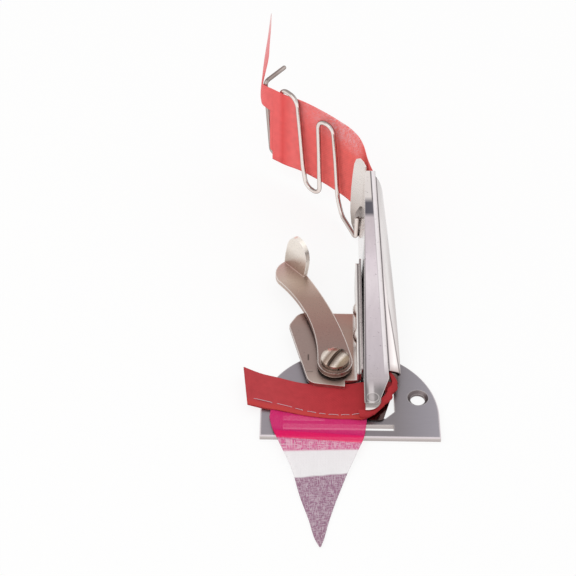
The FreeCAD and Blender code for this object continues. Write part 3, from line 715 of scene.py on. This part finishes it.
def smooth(stations: np.ndarray, steps: int) -> np.ndarray:
    """Run a smooth line through stations along their first axis.

    Between two stations it is the cubic that has, at each, the slope weighted from the two
    chords that meet there, the shorter chord counting more.

    Args:
        stations: array of stations; its last axis is x, y, z.
        steps: number of steps from one station to the next.

    Returns:
        The places along the line, with each station among them.
    """
    flat = stations.reshape(len(stations), -1)
    runs = np.diff(flat, axis=0)
    gaps = np.linalg.norm(runs.reshape(len(runs), -1, 3), axis=2).mean(axis=1)
    chords = runs / gaps[:, None]
    slopes = np.concatenate([chords[:1], chords])
    share = (gaps[1:] / (gaps[1:] + gaps[:-1]))[:, None]
    slopes[1:-1] = chords[:-1] * share + chords[1:] * (1 - share)
    i = np.append(np.repeat(np.arange(len(gaps)), steps), len(gaps) - 1)
    t = np.append(np.tile(np.arange(steps) / steps, len(gaps)), 1)[:, None]
    reach = gaps[i][:, None]
    line = flat[i] * (1 + 2 * t) * (1 - t) ** 2 + slopes[i] * reach * t * (1 - t) ** 2
    line += flat[i + 1] * t ** 2 * (3 - 2 * t) + slopes[i + 1] * reach * t ** 2 * (t - 1)
    return line.reshape(len(line), *stations.shape[1:])


def travelled(points: np.ndarray) -> np.ndarray:
    """Length from the first row to each row of a grid, in mm, at its middle column."""
    middle = points[:, points.shape[1] // 2]
    return np.concatenate([[0], np.cumsum(np.linalg.norm(np.diff(middle, axis=0), axis=1))])


def rounded_path(corners: np.ndarray, radii: np.ndarray, turns: int = 10) -> np.ndarray:
    """Straight runs joined by tangent arcs.

    At a corner with half angle h the arc of radius r starts r / tan h before it and ends as
    far after it; its points turn evenly about the centre, which lies on the bisector.

    Args:
        corners: corner points in mm.
        radii: bend radius at each corner, 0 for a sharp one or an end.
        turns: points on each arc.

    Returns:
        The points of the path in order.
    """
    pieces = [corners[:1]]
    for last, here, after, radius in zip(corners, corners[1:], corners[2:], radii[1:]):
        back, on = last - here, after - here
        room = ARC_SHARE * min(np.linalg.norm(back), np.linalg.norm(on))
        back, on = back / np.linalg.norm(back), on / np.linalg.norm(on)
        half = math.acos(float(np.clip(back @ on, -1, 1))) / 2
        cut = min(radius / math.tan(half), room) if half < STRAIGHT else 0
        if cut < LEAST_CUT:
            pieces.append(here[None])
            continue
        radius = cut * math.tan(half)
        middle = (back + on) / np.linalg.norm(back + on)
        centre = here + middle * radius / math.sin(half)
        angle = math.pi - 2 * half
        t = np.linspace(0, 1, turns)[:, None]
        first, final = here + back * cut - centre, here + on * cut - centre
        arc = (first * np.sin((1 - t) * angle) + final * np.sin(t * angle)) / math.sin(angle)
        pieces.append(centre + arc)
    pieces.append(corners[-1:])
    return np.concatenate(pieces)


def tube(path: np.ndarray, radius: float, sides: int, across: np.ndarray) -> np.ndarray:
    """Round tube along a path, with a half ball at each end.

    Each ring lies square to the path there; its first axis is the path's heading crossed
    with one fixed direction, so that the rings don't twist.

    Args:
        path: points of the centre line in mm.
        radius: radius in mm.
        sides: points in each ring.
        across: direction that the path is never parallel to.

    Returns:
        Grid of rings, closed by repeating the first column.
    """
    heading = np.gradient(path, axis=0)
    heading /= np.linalg.norm(heading, axis=1)[:, None]
    ball = radius * np.sin(DOME)[:, None]
    path = np.concatenate([path[0] - heading[0] * ball, path, path[-1] + heading[-1] * ball[::-1]])
    heading = np.pad(heading, ((len(DOME), len(DOME)), (0, 0)), mode="edge")
    size = np.pad(radius * np.cos(DOME), (0, len(path) - len(DOME)), constant_values=radius)
    size[-len(DOME):] = size[:len(DOME)][::-1]
    side = np.cross(heading, across)
    side /= np.linalg.norm(side, axis=1)[:, None]
    top = np.cross(side, heading)
    turn = np.linspace(0, 2 * np.pi, sides + 1)
    ring = np.cos(turn)[None, :, None] * side[:, None] + np.sin(turn)[None, :, None] * top[:, None]
    return path[:, None] + ring * size[:, None, None]


def make_piece(name: str, body: Body, surfaces: list[Surface], material: bpy.types.Material,
               thickness: float = 0) -> bpy.types.Object:
    """Put grids into one mesh that rides on a body.

    Args:
        name: name of the piece.
        body: body that it moves with.
        surfaces: grids in mm; neighbours that touch are merged.
        material: its finish.
        thickness: thickness of a cloth in mm, laid evenly about its grid; 0 leaves none.

    Returns:
        The new object.
    """
    points, faces, cloth, start = [], [], [], 0
    for surface in surfaces:
        rows, columns = surface.points.shape[:2]
        index = start + np.arange(rows * columns).reshape(rows, columns)
        quads = np.stack([index[:-1, :-1], index[1:, :-1], index[1:, 1:], index[:-1, 1:]], axis=-1)
        faces.append(quads.reshape(-1, 4))
        points.append(surface.points.reshape(-1, 3) * MM)
        flat = np.zeros((rows, columns, 2)) if surface.cloth is None else surface.cloth
        cloth.append(flat.reshape(-1, 2))
        start += rows * columns
    mesh = bpy.data.meshes.new(name)
    mesh.from_pydata(np.concatenate(points), [], np.concatenate(faces).tolist())
    used = np.zeros(len(mesh.loops), dtype=np.int32)
    mesh.loops.foreach_get("vertex_index", used)
    layer = mesh.uv_layers.new(name="cloth")
    layer.data.foreach_set("uv", np.concatenate(cloth)[used].ravel())
    shell = bmesh.new()
    shell.from_mesh(mesh)
    bmesh.ops.remove_doubles(shell, verts=shell.verts, dist=MERGE * MM)
    shell.to_mesh(mesh)
    shell.free()
    mesh.polygons.foreach_set("use_smooth", np.ones(len(mesh.polygons), dtype=bool))
    mesh.materials.append(material)
    piece = bpy.data.objects.new(name, mesh)
    bpy.context.scene.collection.objects.link(piece)
    if thickness:
        wall = piece.modifiers.new("thickness", "SOLIDIFY")
        wall.thickness = thickness * MM
        wall.offset = 0
    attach(piece, body.value)
    LOG.info("%s: %d faces on %s", name, len(mesh.polygons), body.value)
    return piece


def dress(material: bpy.types.Material, *nodes: str) -> None:
    """Give solids of the frame a better material.

    Args:
        material: the finish.
        nodes: names of the solids.
    """
    for name in nodes:
        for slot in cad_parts[name].material_slots:
            slot.material = material
        LOG.info("%s: %s", name, material.name)


# Sub-assemblies

@dataclass
class Folder:
    """Nested sheets that fold the tape, with their sizes; others take their shape from it."""

    nose_z: float = 2.4
    nose_h: float = 5
    entry_h: float = 36.2
    ramp_y: float = 5
    entry_y: float = 91.5
    wall_x: float = 5.2
    wall_lean: float = 0.036
    wall_t: float = 0.6
    sheet: float = 0.5
    gap: float = 0.15
    seat: float = 0.05
    scroll_w: float = 13.7
    scroll_entry_w: float = 8.2
    scroll_power: float = 1.5
    fold_x: float = -6.3
    fold_y: float = 11.5
    fold_r: float = 25.8
    tongue_z: float = 7.05
    tongue_drop: float = 0.25
    tongue_back_y: float = -5.2
    tongue_front: Rows = (
        (5.7, -10.9, 0), (7.4, -10.8, 0), (9.3, -10.1, 0), (10.7, -8.7, 0), (11.4, -7, 0),
        (11.5, -6, 0))

    def cover_top(self, y: np.ndarray) -> np.ndarray:
        """Height of the cover strip, level on the nose and then a straight ramp."""
        rise = (self.entry_h - self.nose_h) / (self.entry_y - self.ramp_y)
        return self.nose_z + self.nose_h + rise * np.maximum(0, y - self.ramp_y)

    def section(self, share: np.ndarray, inset: np.ndarray, angle: np.ndarray) -> np.ndarray:
        """Half ellipse of the rolled sheets, leaning with the side wall.

        Height is the middle plus the half height times the sine; reach is the wall plus the
        width times the cosine, and the width shrinks with share to a power.

        Args:
            share: 0 where the ramp starts, 1 at the entry, one row each.
            inset: distance inside the outer face in mm, one row each.
            angle: 90 degrees at the top to -90 at the bottom, one column each.

        Returns:
            Grid of points in mm.
        """
        share = share[:, None]
        y = self.ramp_y + (self.entry_y - self.ramp_y) * share
        top = self.cover_top(y) - self.wall_t - self.seat
        width = self.scroll_w + (self.scroll_entry_w - self.scroll_w) * share ** self.scroll_power
        half, middle = (top - self.nose_z) / 2, (top + self.nose_z) / 2
        turn = np.radians(angle)
        z = middle + (half - inset) * np.sin(turn)
        wall = self.wall_x + self.wall_lean * (z - self.nose_z)
        x = wall + self.wall_t + self.gap + (width - inset) * np.cos(turn)
        return np.stack([x, y + 0 * z, z], axis=-1)

    def fold_edge(self, x: np.ndarray) -> np.ndarray:
        """Front of the fold's arc at x: its centre less the chord's half length."""
        return self.fold_y - np.sqrt(np.maximum(self.fold_r ** 2 - (x - self.fold_x) ** 2, 0))

    def dress(self) -> None:
        """Give the folder's sheets and its solder their finishes."""
        dress(POLISHED_SHEET.material(), "folder_cover")
        dress(SCROLL_SHEET.material(), "outer_scroll", "inner_former")
        dress(CHEEK_SHEET.material(), "entry_cheek")
        dress(SOFT_SOLDER.material(), "solder_joint")

    def tongue(self) -> bpy.types.Object:
        """Tongue that holds the tape down in front of the cover, with a rounded corner.

        Rows run along its curved front from left to right and columns back under the cover.

        Returns:
            The new object.
        """
        front = smooth(np.array(self.tongue_front)[:, None], steps=8)[:, 0]
        back = np.stack([front[:, 0], 0 * front[:, 0] + self.tongue_back_y], axis=-1)
        t = np.linspace(0, 1, 14)[None, :, None]
        flat = front[:, None, :2] * (1 - t) + back[:, None] * t
        drop = self.tongue_drop * (1 - t[..., 0]) ** 3
        grid = np.concatenate([flat, (self.tongue_z - drop + 0 * flat[..., 0])[..., None]], axis=-1)
        return make_piece("nose_tongue", Body.BINDER, [Surface(grid)], TONGUE_SHEET.material(),
                          self.sheet)


@dataclass
class Fixings:
    """Plate, bracket, screw stack and lever, whose solids keep their shapes."""

    def dress(self) -> None:
        """Give each solid the finish of its making."""
        dress(PLATE_STEEL.material(), "needle_plate")
        dress(BRACKET_NICKEL.material(), "bracket")
        dress(DOUBLER_NICKEL.material(), "backing_strip")
        dress(LEVER_NICKEL.material(), "release_lever")
        dress(TURNED_NICKEL.material(), "pivot_screw")
        dress(NICKEL.material(), "pivot_spacer", "flat_washer", "flange_rivets")
        dress(SPRING_STEEL.material(), "lock_washer", "wave_washer")


@dataclass
class WireGuide:
    """Bent wire that the tape is laced through."""

    radius: float = 0.95
    sides: int = 20
    across: Triple = (0.78, 0.62, 0.05)
    route: Rows = (
        # x, y, z and bend radius of each corner
        (-27.1, 150, 47.6, 0), (-34.9, 140.6, 46.8, 1.8), (-32.3, 139.1, 10.5, 2.4),
        (-28.4, 135.9, 10.5, 2.4), (-28.2, 135.6, 47.4, 4.4), (-21.4, 127.7, 47.4, 4.8),
        (-19.6, 126.2, 28, 60), (-18.4, 124.6, 14, 20), (-16.8, 123.2, 4.2, 4.2),
        (-11, 117.1, 4.2, 3.8), (-11.7, 118.2, 26, 60), (-12.5, 119.3, 43.2, 3.8),
        (-6.3, 113.9, 43.2, 4), (-4.7, 112.4, 26, 60), (-3.4, 110.4, 8.5, 9),
        (-1.4, 105, 2.8, 6), (4.2, 91, 2.7, 2.2), (4.3, 90.2, 13.6, 0))

    def build(self) -> bpy.types.Object:
        """Carry a circle along the rounded route.

        Returns:
            The new object.
        """
        route = np.array(self.route)
        path = rounded_path(route[:, :3], route[:, 3])
        rings = tube(path, self.radius, self.sides, np.array(self.across))
        piece = make_piece("guide_wire", Body.BINDER, [Surface(rings)], BrightWire().material())
        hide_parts("wire_guide")
        return piece


@dataclass
class LacedTape:
    """The tape in one piece, from its loose tail through guide and folder to the sewn strip.

    low is the height of its lower edge at the guide, inset its distance inside the scroll,
    which grows by shy near the nose, and entry_cut the degrees by which it stops short of
    the scroll's ends at the entry. The values named from_v are where a stretch starts on
    the cloth map. fray, pleats and wave are waves: height in mm, then how fast they run;
    wave grows over free_x. rim_high and rim_lift give the half height and the lift of the
    rolled edge by share of its length, rim_depth its depth and rim_run its length.
    """

    folder: Folder
    width: float = 37.5
    low: float = 8.6
    thickness: float = 0.3
    inset: float = 0.8
    shy: float = 2.4
    shy_share: Pair = (0, 0.25)
    folded: tuple[float, float, int] = (1, 0.03, 14)    # shares along the folder, and rows
    nose_rows: int = 12
    layer_gap: float = 0.25
    entry_cut: float = 9
    columns: int = 41
    split_columns: int = 22
    rim_columns: int = 21
    layer_columns: int = 28
    fold_columns: int = 9
    split_v: Pair = (64, 61.5)
    layer_u: Pair = (-18, -19)       # front to back, then round the fold
    band_from_v: float = 62
    rim_from_v: float = 240
    strip_from_v: float = 226
    fray: Rows = ((0.25, 61), (0.15, 143))
    fray_aside: float = 0.2
    pleats: Rows = ((0.12, 34, 2), (0.08, 71, -1))
    wave: Triple = (0.1, 0.42, 0.1)
    free_x: Pair = (-30, -10)
    rim_high: Rows = ((0.5625, 1), (1.55, 1.025))
    rim_lift: Rows = ((0.7, 0.95), (0, 1.1))
    rim_depth: float = 2.3
    rim_run: float = 16
    tail: Rows = (
        # x and y of the top edge, lean of the lower edge to the left, width
        (-33.4, 194, 0.2, 1.2), (-33.45, 183.66, 1.2, 5.5), (-33.8, 170.5, 2.2, 9),
        (-34.1, 158.75, 2.6, 10.5), (-35.2, 149, 1.9, 11), (-36.2, 143.5, 0.6, 10.5),
        (-35.9, 139.9, 0.1, 10.8), (-34.1, 138, 0, 11.2), (-32.2, 136.7, 0, 12),
        (-31.7, 136.3, 0, 12.4))
    band: Rows = (
        (-31.7, 136.3), (-26.2, 132.2), (-19.4, 128.3), (-12.4, 122.8), (-4.9, 115.8),
        (1.7, 108.3), (5.6, 99.5))
    turned_back: Rows = (
        (-31.7, 136.3, 0), (-32, 136.6, 0), (-32.4, 137.1, 0), (-32.8, 138, 0))
    turned_z: Pair = (34.3, 13.2)
    rim: Rows = (
        (3.6, -12.3), (6, -12.2), (8.4, -11.3), (9.6, -10.1), (12.2, -6.9), (14.8, -4.1),
        (16, -2.1), (16.3, -0.3), (17.8, 1.8), (18.3, 4), (17.7, 6.8), (17, 9.2),
        (16.2, 11.6), (15.6, 14))
    strip: Rows = (
        # x and y of the front edge, x and y of the back edge, front and back height
        (13, -6.4, 13, 4.6, 4.5, 4.5), (9.5, -9.9, 9.5, 4.9, 4.4, 4.5),
        (5.6, -12.4, 5.6, 5.4, 3.8, 4.4), (0.4, -12.2, 0.4, 5.6, 2.95, 3.1),
        (-8, -12, -8, 5.5, 2.86, 2.86), (-15, -11.1, -15, 5.4, 2.86, 2.86),
        (-27, -8.3, -27, 8.4, 2.86, 2.86), (-32, -7.2, -32.5, 10, 2.88, 2.95),
        (-38.6, -5.9, -40.6, 12.6, 3.5, 4.3))

    def upright(self, line: np.ndarray, lean: np.ndarray, width: np.ndarray) -> np.ndarray:
        """Cloth that stands on edge along a line, its top edge at one height.

        Args:
            line: x and y of the top edge in mm, one row each.
            lean: how far its lower edge leans to the left, one row each.
            width: how far it reaches down, one row each.

        Returns:
            Grid of points in mm, columns from the top edge down.
        """
        down = np.linspace(0, 1, self.columns)
        x = line[:, :1] - lean[:, None] * down
        y = line[:, 1:2] + 0 * down
        return np.stack([x, y, self.low + self.width - width[:, None] * down], axis=-1)

    def loose_end(self) -> list[Surface]:
        """Tail, a tongue torn from the band's top edge, and the band's end turned back.

        Returns:
            Two grids with their cloth maps.
        """
        tail = np.array(self.tail)
        grid = smooth(self.upright(tail, tail[:, 2], tail[:, 3]), steps=24)
        along = travelled(grid)[:, None]
        reach = np.linalg.norm(grid - grid[:, :1], axis=2)
        surfaces = [Surface(grid, np.stack([reach, along + 0 * reach], axis=-1))]
        path = smooth(np.array(self.turned_back)[:, None], steps=8)[:, 0]
        top, low = self.turned_z
        drop = np.linspace(0, 1, self.split_columns)
        fray = sum(height * np.sin(drop * pace) for height, pace in self.fray)
        share = np.linspace(0, 1, len(path))[:, None]
        grid = np.stack([path[:, :1] - self.fray_aside * fray * share,
                         path[:, 1:2] + fray * share,
                         top + (low - top) * drop + 0 * share], axis=-1)
        reach = self.low + self.width - grid[..., 2]
        along = np.interp(share, (0, 1), self.split_v) + 0 * reach
        surfaces.append(Surface(grid, np.stack([reach, along], axis=-1)))
        return surfaces

    def run(self) -> Surface:
        """Band from its split end to the nose.

        It stands on edge at the guide, then bends into the folder's half ellipse and follows
        it down to the slanted arc of the nose.

        Returns:
            The grid with its cloth map.
        """
        down = np.linspace(0, 1, self.columns)
        band = np.array(self.band)
        upright = self.upright(band, 0 * band[:, 0], self.width + 0 * band[:, 0])
        share = np.linspace(*self.folded)
        stop = 90 - self.entry_cut * share[:, None]
        inset = self.inset + self.shy * np.interp(share, self.shy_share, (1, 0))[:, None]
        curled = self.folder.section(share, inset, stop * (1 - 2 * down))
        grid = smooth(np.concatenate([upright, curled]), steps=16)
        front = np.minimum(self.folder.fold_edge(grid[-1, :, 0]), grid[-1, :, 1] - LEAST_CUT)
        ahead = np.repeat(grid[-1:], self.nose_rows, axis=0)
        t = np.linspace(1 / self.nose_rows, 1, self.nose_rows)[:, None]
        ahead[:, :, 1] = grid[-1, :, 1] * (1 - t) + front * t
        grid = np.concatenate([grid, ahead])
        along = self.band_from_v + travelled(grid)[:, None] + 0 * down
        across = down * self.width + 0 * along
        return Surface(grid, np.stack([across, along], axis=-1))

    def turn(self) -> Surface:
        """Rolled edge where the tape turns round the nose.

        Rows run along the rim that the photograph shows, columns over a half ellipse from
        the upper to the lower layer; small pleats push it in and out.

        Returns:
            The grid with its cloth map.
        """
        f = self.folder
        rim = smooth(np.array([(x, y, 0) for x, y in self.rim])[:, None], steps=9)[:, 0]
        share = np.linspace(0, 1, len(rim))[:, None]
        angle = np.radians(np.linspace(90, -90, self.rim_columns))[None, :]
        middle = (f.cover_top(np.array(f.ramp_y)) - f.wall_t - f.seat + f.nose_z) / 2
        out = rim - np.array([f.fold_x, f.fold_y, 0])
        out /= np.linalg.norm(out, axis=1)[:, None]
        high = np.interp(share, *self.rim_high)
        pleat = sum(height * np.sin(share * pace + slant * angle)
                    for height, pace, slant in self.pleats)
        reach = pleat * np.cos(angle) - self.rim_depth * (1 - np.cos(angle))
        grid = rim[:, None] + out[:, None] * reach[..., None]
        grid[..., 2] = middle + np.interp(share, *self.rim_lift) + high * np.sin(angle)
        along = self.rim_from_v - self.rim_run * share + 0 * angle
        return Surface(grid, np.stack([self.rim_depth * angle + 0 * share, along], axis=-1))

    def sewn(self) -> Surface:
        """Strip that leaves to the left: two layers joined by a fold at the back.

        Columns run along the lower layer from front to back, round a half circle, and along
        the upper layer to the front.

        Returns:
            The grid with its cloth map.
        """
        s = np.array(self.strip)
        ends = np.stack([s[:, [0, 1, 4]], s[:, [2, 3, 5]]], axis=1)
        line = smooth(ends, steps=14)
        front, back = line[:, :1], line[:, 1:]
        half = (self.layer_gap + self.thickness) / 2
        depth = back - front
        reach = np.linalg.norm(depth, axis=2, keepdims=True)
        depth = depth / reach
        turn = np.radians(np.linspace(-90, 90, self.fold_columns))
        flat = np.linspace(0, 1, self.layer_columns)
        level = np.zeros(len(flat) - 1)
        along = np.concatenate([flat[:-1], np.ones(len(turn)), flat[-2::-1]])
        curl = np.concatenate([level, half * np.cos(turn), level])
        lift = np.concatenate([level - half, half * np.sin(turn), level + half])
        grid = front + depth * ((reach - half) * along[:, None] + curl[:, None])
        height, pace_x, pace_y = self.wave
        x, y = grid[..., 0], grid[..., 1]
        free = np.interp(x, self.free_x, (1, 0))
        grid[..., 2] += lift + height * free * (1 + np.sin(pace_x * x + pace_y * y))
        length = self.strip_from_v + travelled(grid)[:, None]
        near, far = self.layer_u
        over = np.concatenate([near * flat[:-1], np.linspace(near, far, len(turn)),
                               far + near * flat[1:]])
        return Surface(grid, np.stack([over + 0 * length, length + 0 * over], axis=-1))

    def build(self) -> bpy.types.Object:
        """Join the stretches into one cloth.

        Returns:
            The new object.
        """
        surfaces = [*self.loose_end(), self.run(), self.turn(), self.sewn()]
        piece = make_piece("laced_tape", Body.BINDER, surfaces, BIAS_TAPE.material(),
                           self.thickness)
        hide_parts("binding_tape")
        return piece


@dataclass
class Pennant:
    """Small pointed cloth that is sewn into the strip and hangs over the plate's front.

    band_tilt gives the slope of its dyed bands at three places along y, and ripple the
    height of its ripples and how fast they run along x and y; they grow over loose_y.
    """

    thickness: float = 0.12
    columns: int = 61
    ripple: Triple = (0.14, 0.9, 0.12)
    loose_y: Pair = (-38, -24)
    band_tilt: Rows = ((-39, -27, -22.5), (0.12, 0.033, -0.07))
    stations: Rows = (
        # y, left x, right x, height
        (-6, -29.6, -2.6, 2.86), (-11.5, -30.2, -2.2, 2.86), (-11.9, -30.1, 6.3, 2.86),
        (-16.7, -29.1, 5.8, 2.86), (-21.1, -27.5, 5, 2.8), (-26.7, -25.2, 2.9, 2.5),
        (-32.4, -22.8, 0.6, 1.6), (-38, -20.9, -1.7, 0.9), (-46, -19, -4.4, 0.5),
        (-58, -15.4, -8, 0.5), (-68, -12.6, -10.4, 0.5), (-70, -11.6, -11.1, 0.5))

    def build(self) -> bpy.types.Object:
        """Lay the cloth's width across its stations, with soft ripples past the plate.

        Returns:
            The new object.
        """
        s = np.array(self.stations)
        ends = np.stack([s[:, [1, 0, 3]], s[:, [2, 0, 3]]], axis=1)
        first = ends[:2]
        rest = smooth(ends[2:], steps=12)
        step = first[1] + (rest[0] - first[1]) * np.linspace(0, 1, 4)[1:-1, None, None]
        line = np.concatenate([smooth(first, steps=6), step, rest])
        across = np.linspace(0, 1, self.columns)[None, :, None]
        grid = line[:, :1] * (1 - across) + line[:, 1:] * across
        height, pace_x, pace_y = self.ripple
        x, y = grid[..., 0], grid[..., 1]
        loose = np.interp(y, self.loose_y, (1, 0))
        grid[..., 2] += height * loose * (1 + np.sin(pace_x * x + pace_y * y))
        cloth = np.stack([x, s[0, 0] - y + np.interp(y, *self.band_tilt) * x], axis=-1)
        piece = make_piece("pennant_voile", Body.BINDER, [Surface(grid, cloth)],
                           BANDED_VOILE.material(), self.thickness)
        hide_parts("pennant")
        return piece


@dataclass
class Seam:
    """Row of lockstitches through the strip near its front edge."""

    radius: float = 0.12
    sink: float = 0.3
    square: int = 8         # how square the arch is
    rings: int = 11
    sides: int = 8
    spans: Rows = (
        # x and y of each stitch's left and right end
        (-36.7, -2.9, -29, -4.7), (-27.8, -5, -21.4, -6.9), (-20.7, -7.3, -17.6, -8.3),
        (-16.1, -8.7, -12.6, -9.5), (-11.6, -9.7, -9.1, -10.1), (-8.1, -10.2, -4.3, -10.4),
        (-3.3, -10.3, -0.1, -10.3), (0.7, -10.3, 4.2, -10.2), (5.2, -9.9, 8.2, -9.7))
    height: Rows = (
        (-37, -30, -20, 0, 4, 8.5), (3.95, 3.5, 3.42, 3.46, 4.2, 5))

    def build(self) -> bpy.types.Object:
        """Lay the stitches: each an arch whose ends dip into the cloth.

        Returns:
            The new object.
        """
        surfaces = []
        for x0, y0, x1, y1 in self.spans:
            t = np.linspace(0, 1, self.rings)
            x = x0 + (x1 - x0) * t
            z = np.interp(x, *self.height) - self.sink * (2 * t - 1) ** self.square
            path = np.stack([x, y0 + (y1 - y0) * t, z], axis=-1)
            surfaces.append(Surface(tube(path, self.radius, self.sides, np.array([0, 0.1, 1]))))
        return make_piece("seam_stitches", Body.BINDER, surfaces, SewingThread().material())


@dataclass
class Studio:
    """Camera, soft lamps, world and pale floor.

    lamp_aim is where the lamps look, dim the world's strength for the rays that only light
    the object, and glow the share of white that the others see on the floor.
    """

    elevation: float = 43.172
    azimuth: float = 0.199
    roll: float = 0.659
    target: Triple = (-24.036, 62.285, 0)
    distance: float = 643
    lens: float = 98
    lamp_aim: Triple = (-10, 60, 0)
    dim: float = 0.86
    glow: float = 0.84
    reach: float = 4

    def camera(self) -> None:
        """Place the camera on its arm: raised, turned about Z and rolled."""
        tip, turn, roll = (math.radians(angle)
                           for angle in (90 - self.elevation, self.azimuth, self.roll))
        pose = (Matrix.Rotation(turn, 4, "Z") @ Matrix.Rotation(tip, 4, "X")
                @ Matrix.Rotation(roll, 4, "Z"))
        place = Vector(self.target) + pose.col[2].xyz * self.distance
        data = bpy.data.cameras.new("camera")
        data.lens = self.lens
        data.clip_start = 0.01
        camera = bpy.data.objects.new("camera", data)
        camera.matrix_world = Matrix.Translation(place * MM) @ pose
        bpy.context.scene.collection.objects.link(camera)
        bpy.context.scene.camera = camera

    def lamp(self, name: str, place: Triple, size: float, watts: float) -> None:
        """Add a square soft lamp that looks at the object.

        Args:
            name: name of the lamp.
            place: its place in mm.
            size: its side in m.
            watts: its power.
        """
        data = bpy.data.lights.new(name, "AREA")
        data.size = size
        data.energy = watts
        lamp = bpy.data.objects.new(name, data)
        lamp.location = Vector(place) * MM
        away = Vector(place) - Vector(self.lamp_aim)
        lamp.rotation_euler = away.to_track_quat("Z", "Y").to_euler()
        bpy.context.scene.collection.objects.link(lamp)

    def shown(self, tree: Tree) -> Node:
        """Tell the rays that show the backdrop from those that only light the object.

        Args:
            tree: node tree of the world or the floor.

        Returns:
            A node with 1 for camera, glossy and transmission rays and 0 for the rest.
        """
        ray = add_node(tree, "LightPath")
        shown: Any = 0
        for kind in ("Camera", "Glossy", "Transmission"):
            shown = add_node(tree, "Math", {0: shown, 1: ray.outputs[f"Is {kind} Ray"]},
                             operation="MAXIMUM")
        return shown

    def backdrop(self) -> None:
        """White world and pale floor, white to the camera and to gloss, plain to the rest."""
        world = bpy.data.worlds.new("studio")
        tree = new_tree(world)
        level = add_node(tree, "MapRange", {"Value": self.shown(tree), "To Min": self.dim})
        shade = add_node(tree, "Background", {"Color": "#ffffff", "Strength": level})
        add_node(tree, "OutputWorld", {"Surface": shade})
        bpy.context.scene.world = world
        floor = bpy.data.materials.new("pale matt floor")
        tree = new_tree(floor)
        part = add_node(tree, "Math", {0: self.shown(tree), 1: self.glow}, operation="MULTIPLY")
        matt = add_node(tree, "BsdfDiffuse", {"Color": "#f6f5f4"})
        white = add_node(tree, "Emission", {"Color": "#ffffff", "Strength": 1})
        both = add_node(tree, "MixShader", {0: part, 1: matt, 2: white})
        add_node(tree, "OutputMaterial", {"Surface": both})
        mesh = bpy.data.meshes.new("floor")
        corners = [(x * self.reach, y * self.reach, 0)
                   for x, y in ((-1, -1), (1, -1), (1, 1), (-1, 1))]
        mesh.from_pydata(corners, [], [(0, 1, 2, 3)])
        mesh.materials.append(floor)
        ground = bpy.data.objects.new("floor", mesh)
        bpy.context.scene.collection.objects.link(ground)

    def build(self) -> None:
        """Set up everything that isn't part of the object."""
        bpy.context.scene.view_settings.view_transform = "Standard"
        self.camera()
        self.lamp("key_lamp", (-420, -260, 720), 0.7, 1.4)
        self.lamp("fill_lamp", (520, 300, 600), 0.6, 0.4)
        self.backdrop()


def main() -> None:
    """Build the scene in order."""
    logging.basicConfig(level=logging.INFO, format="%(name)s: %(message)s")
    Studio().build()
    folder = Folder()
    folder.dress()
    folder.tongue()
    Fixings().dress()
    for part in (WireGuide(), LacedTape(folder), Pennant(), Seam()):
        part.build()


if __name__ == "__main__":
    main()
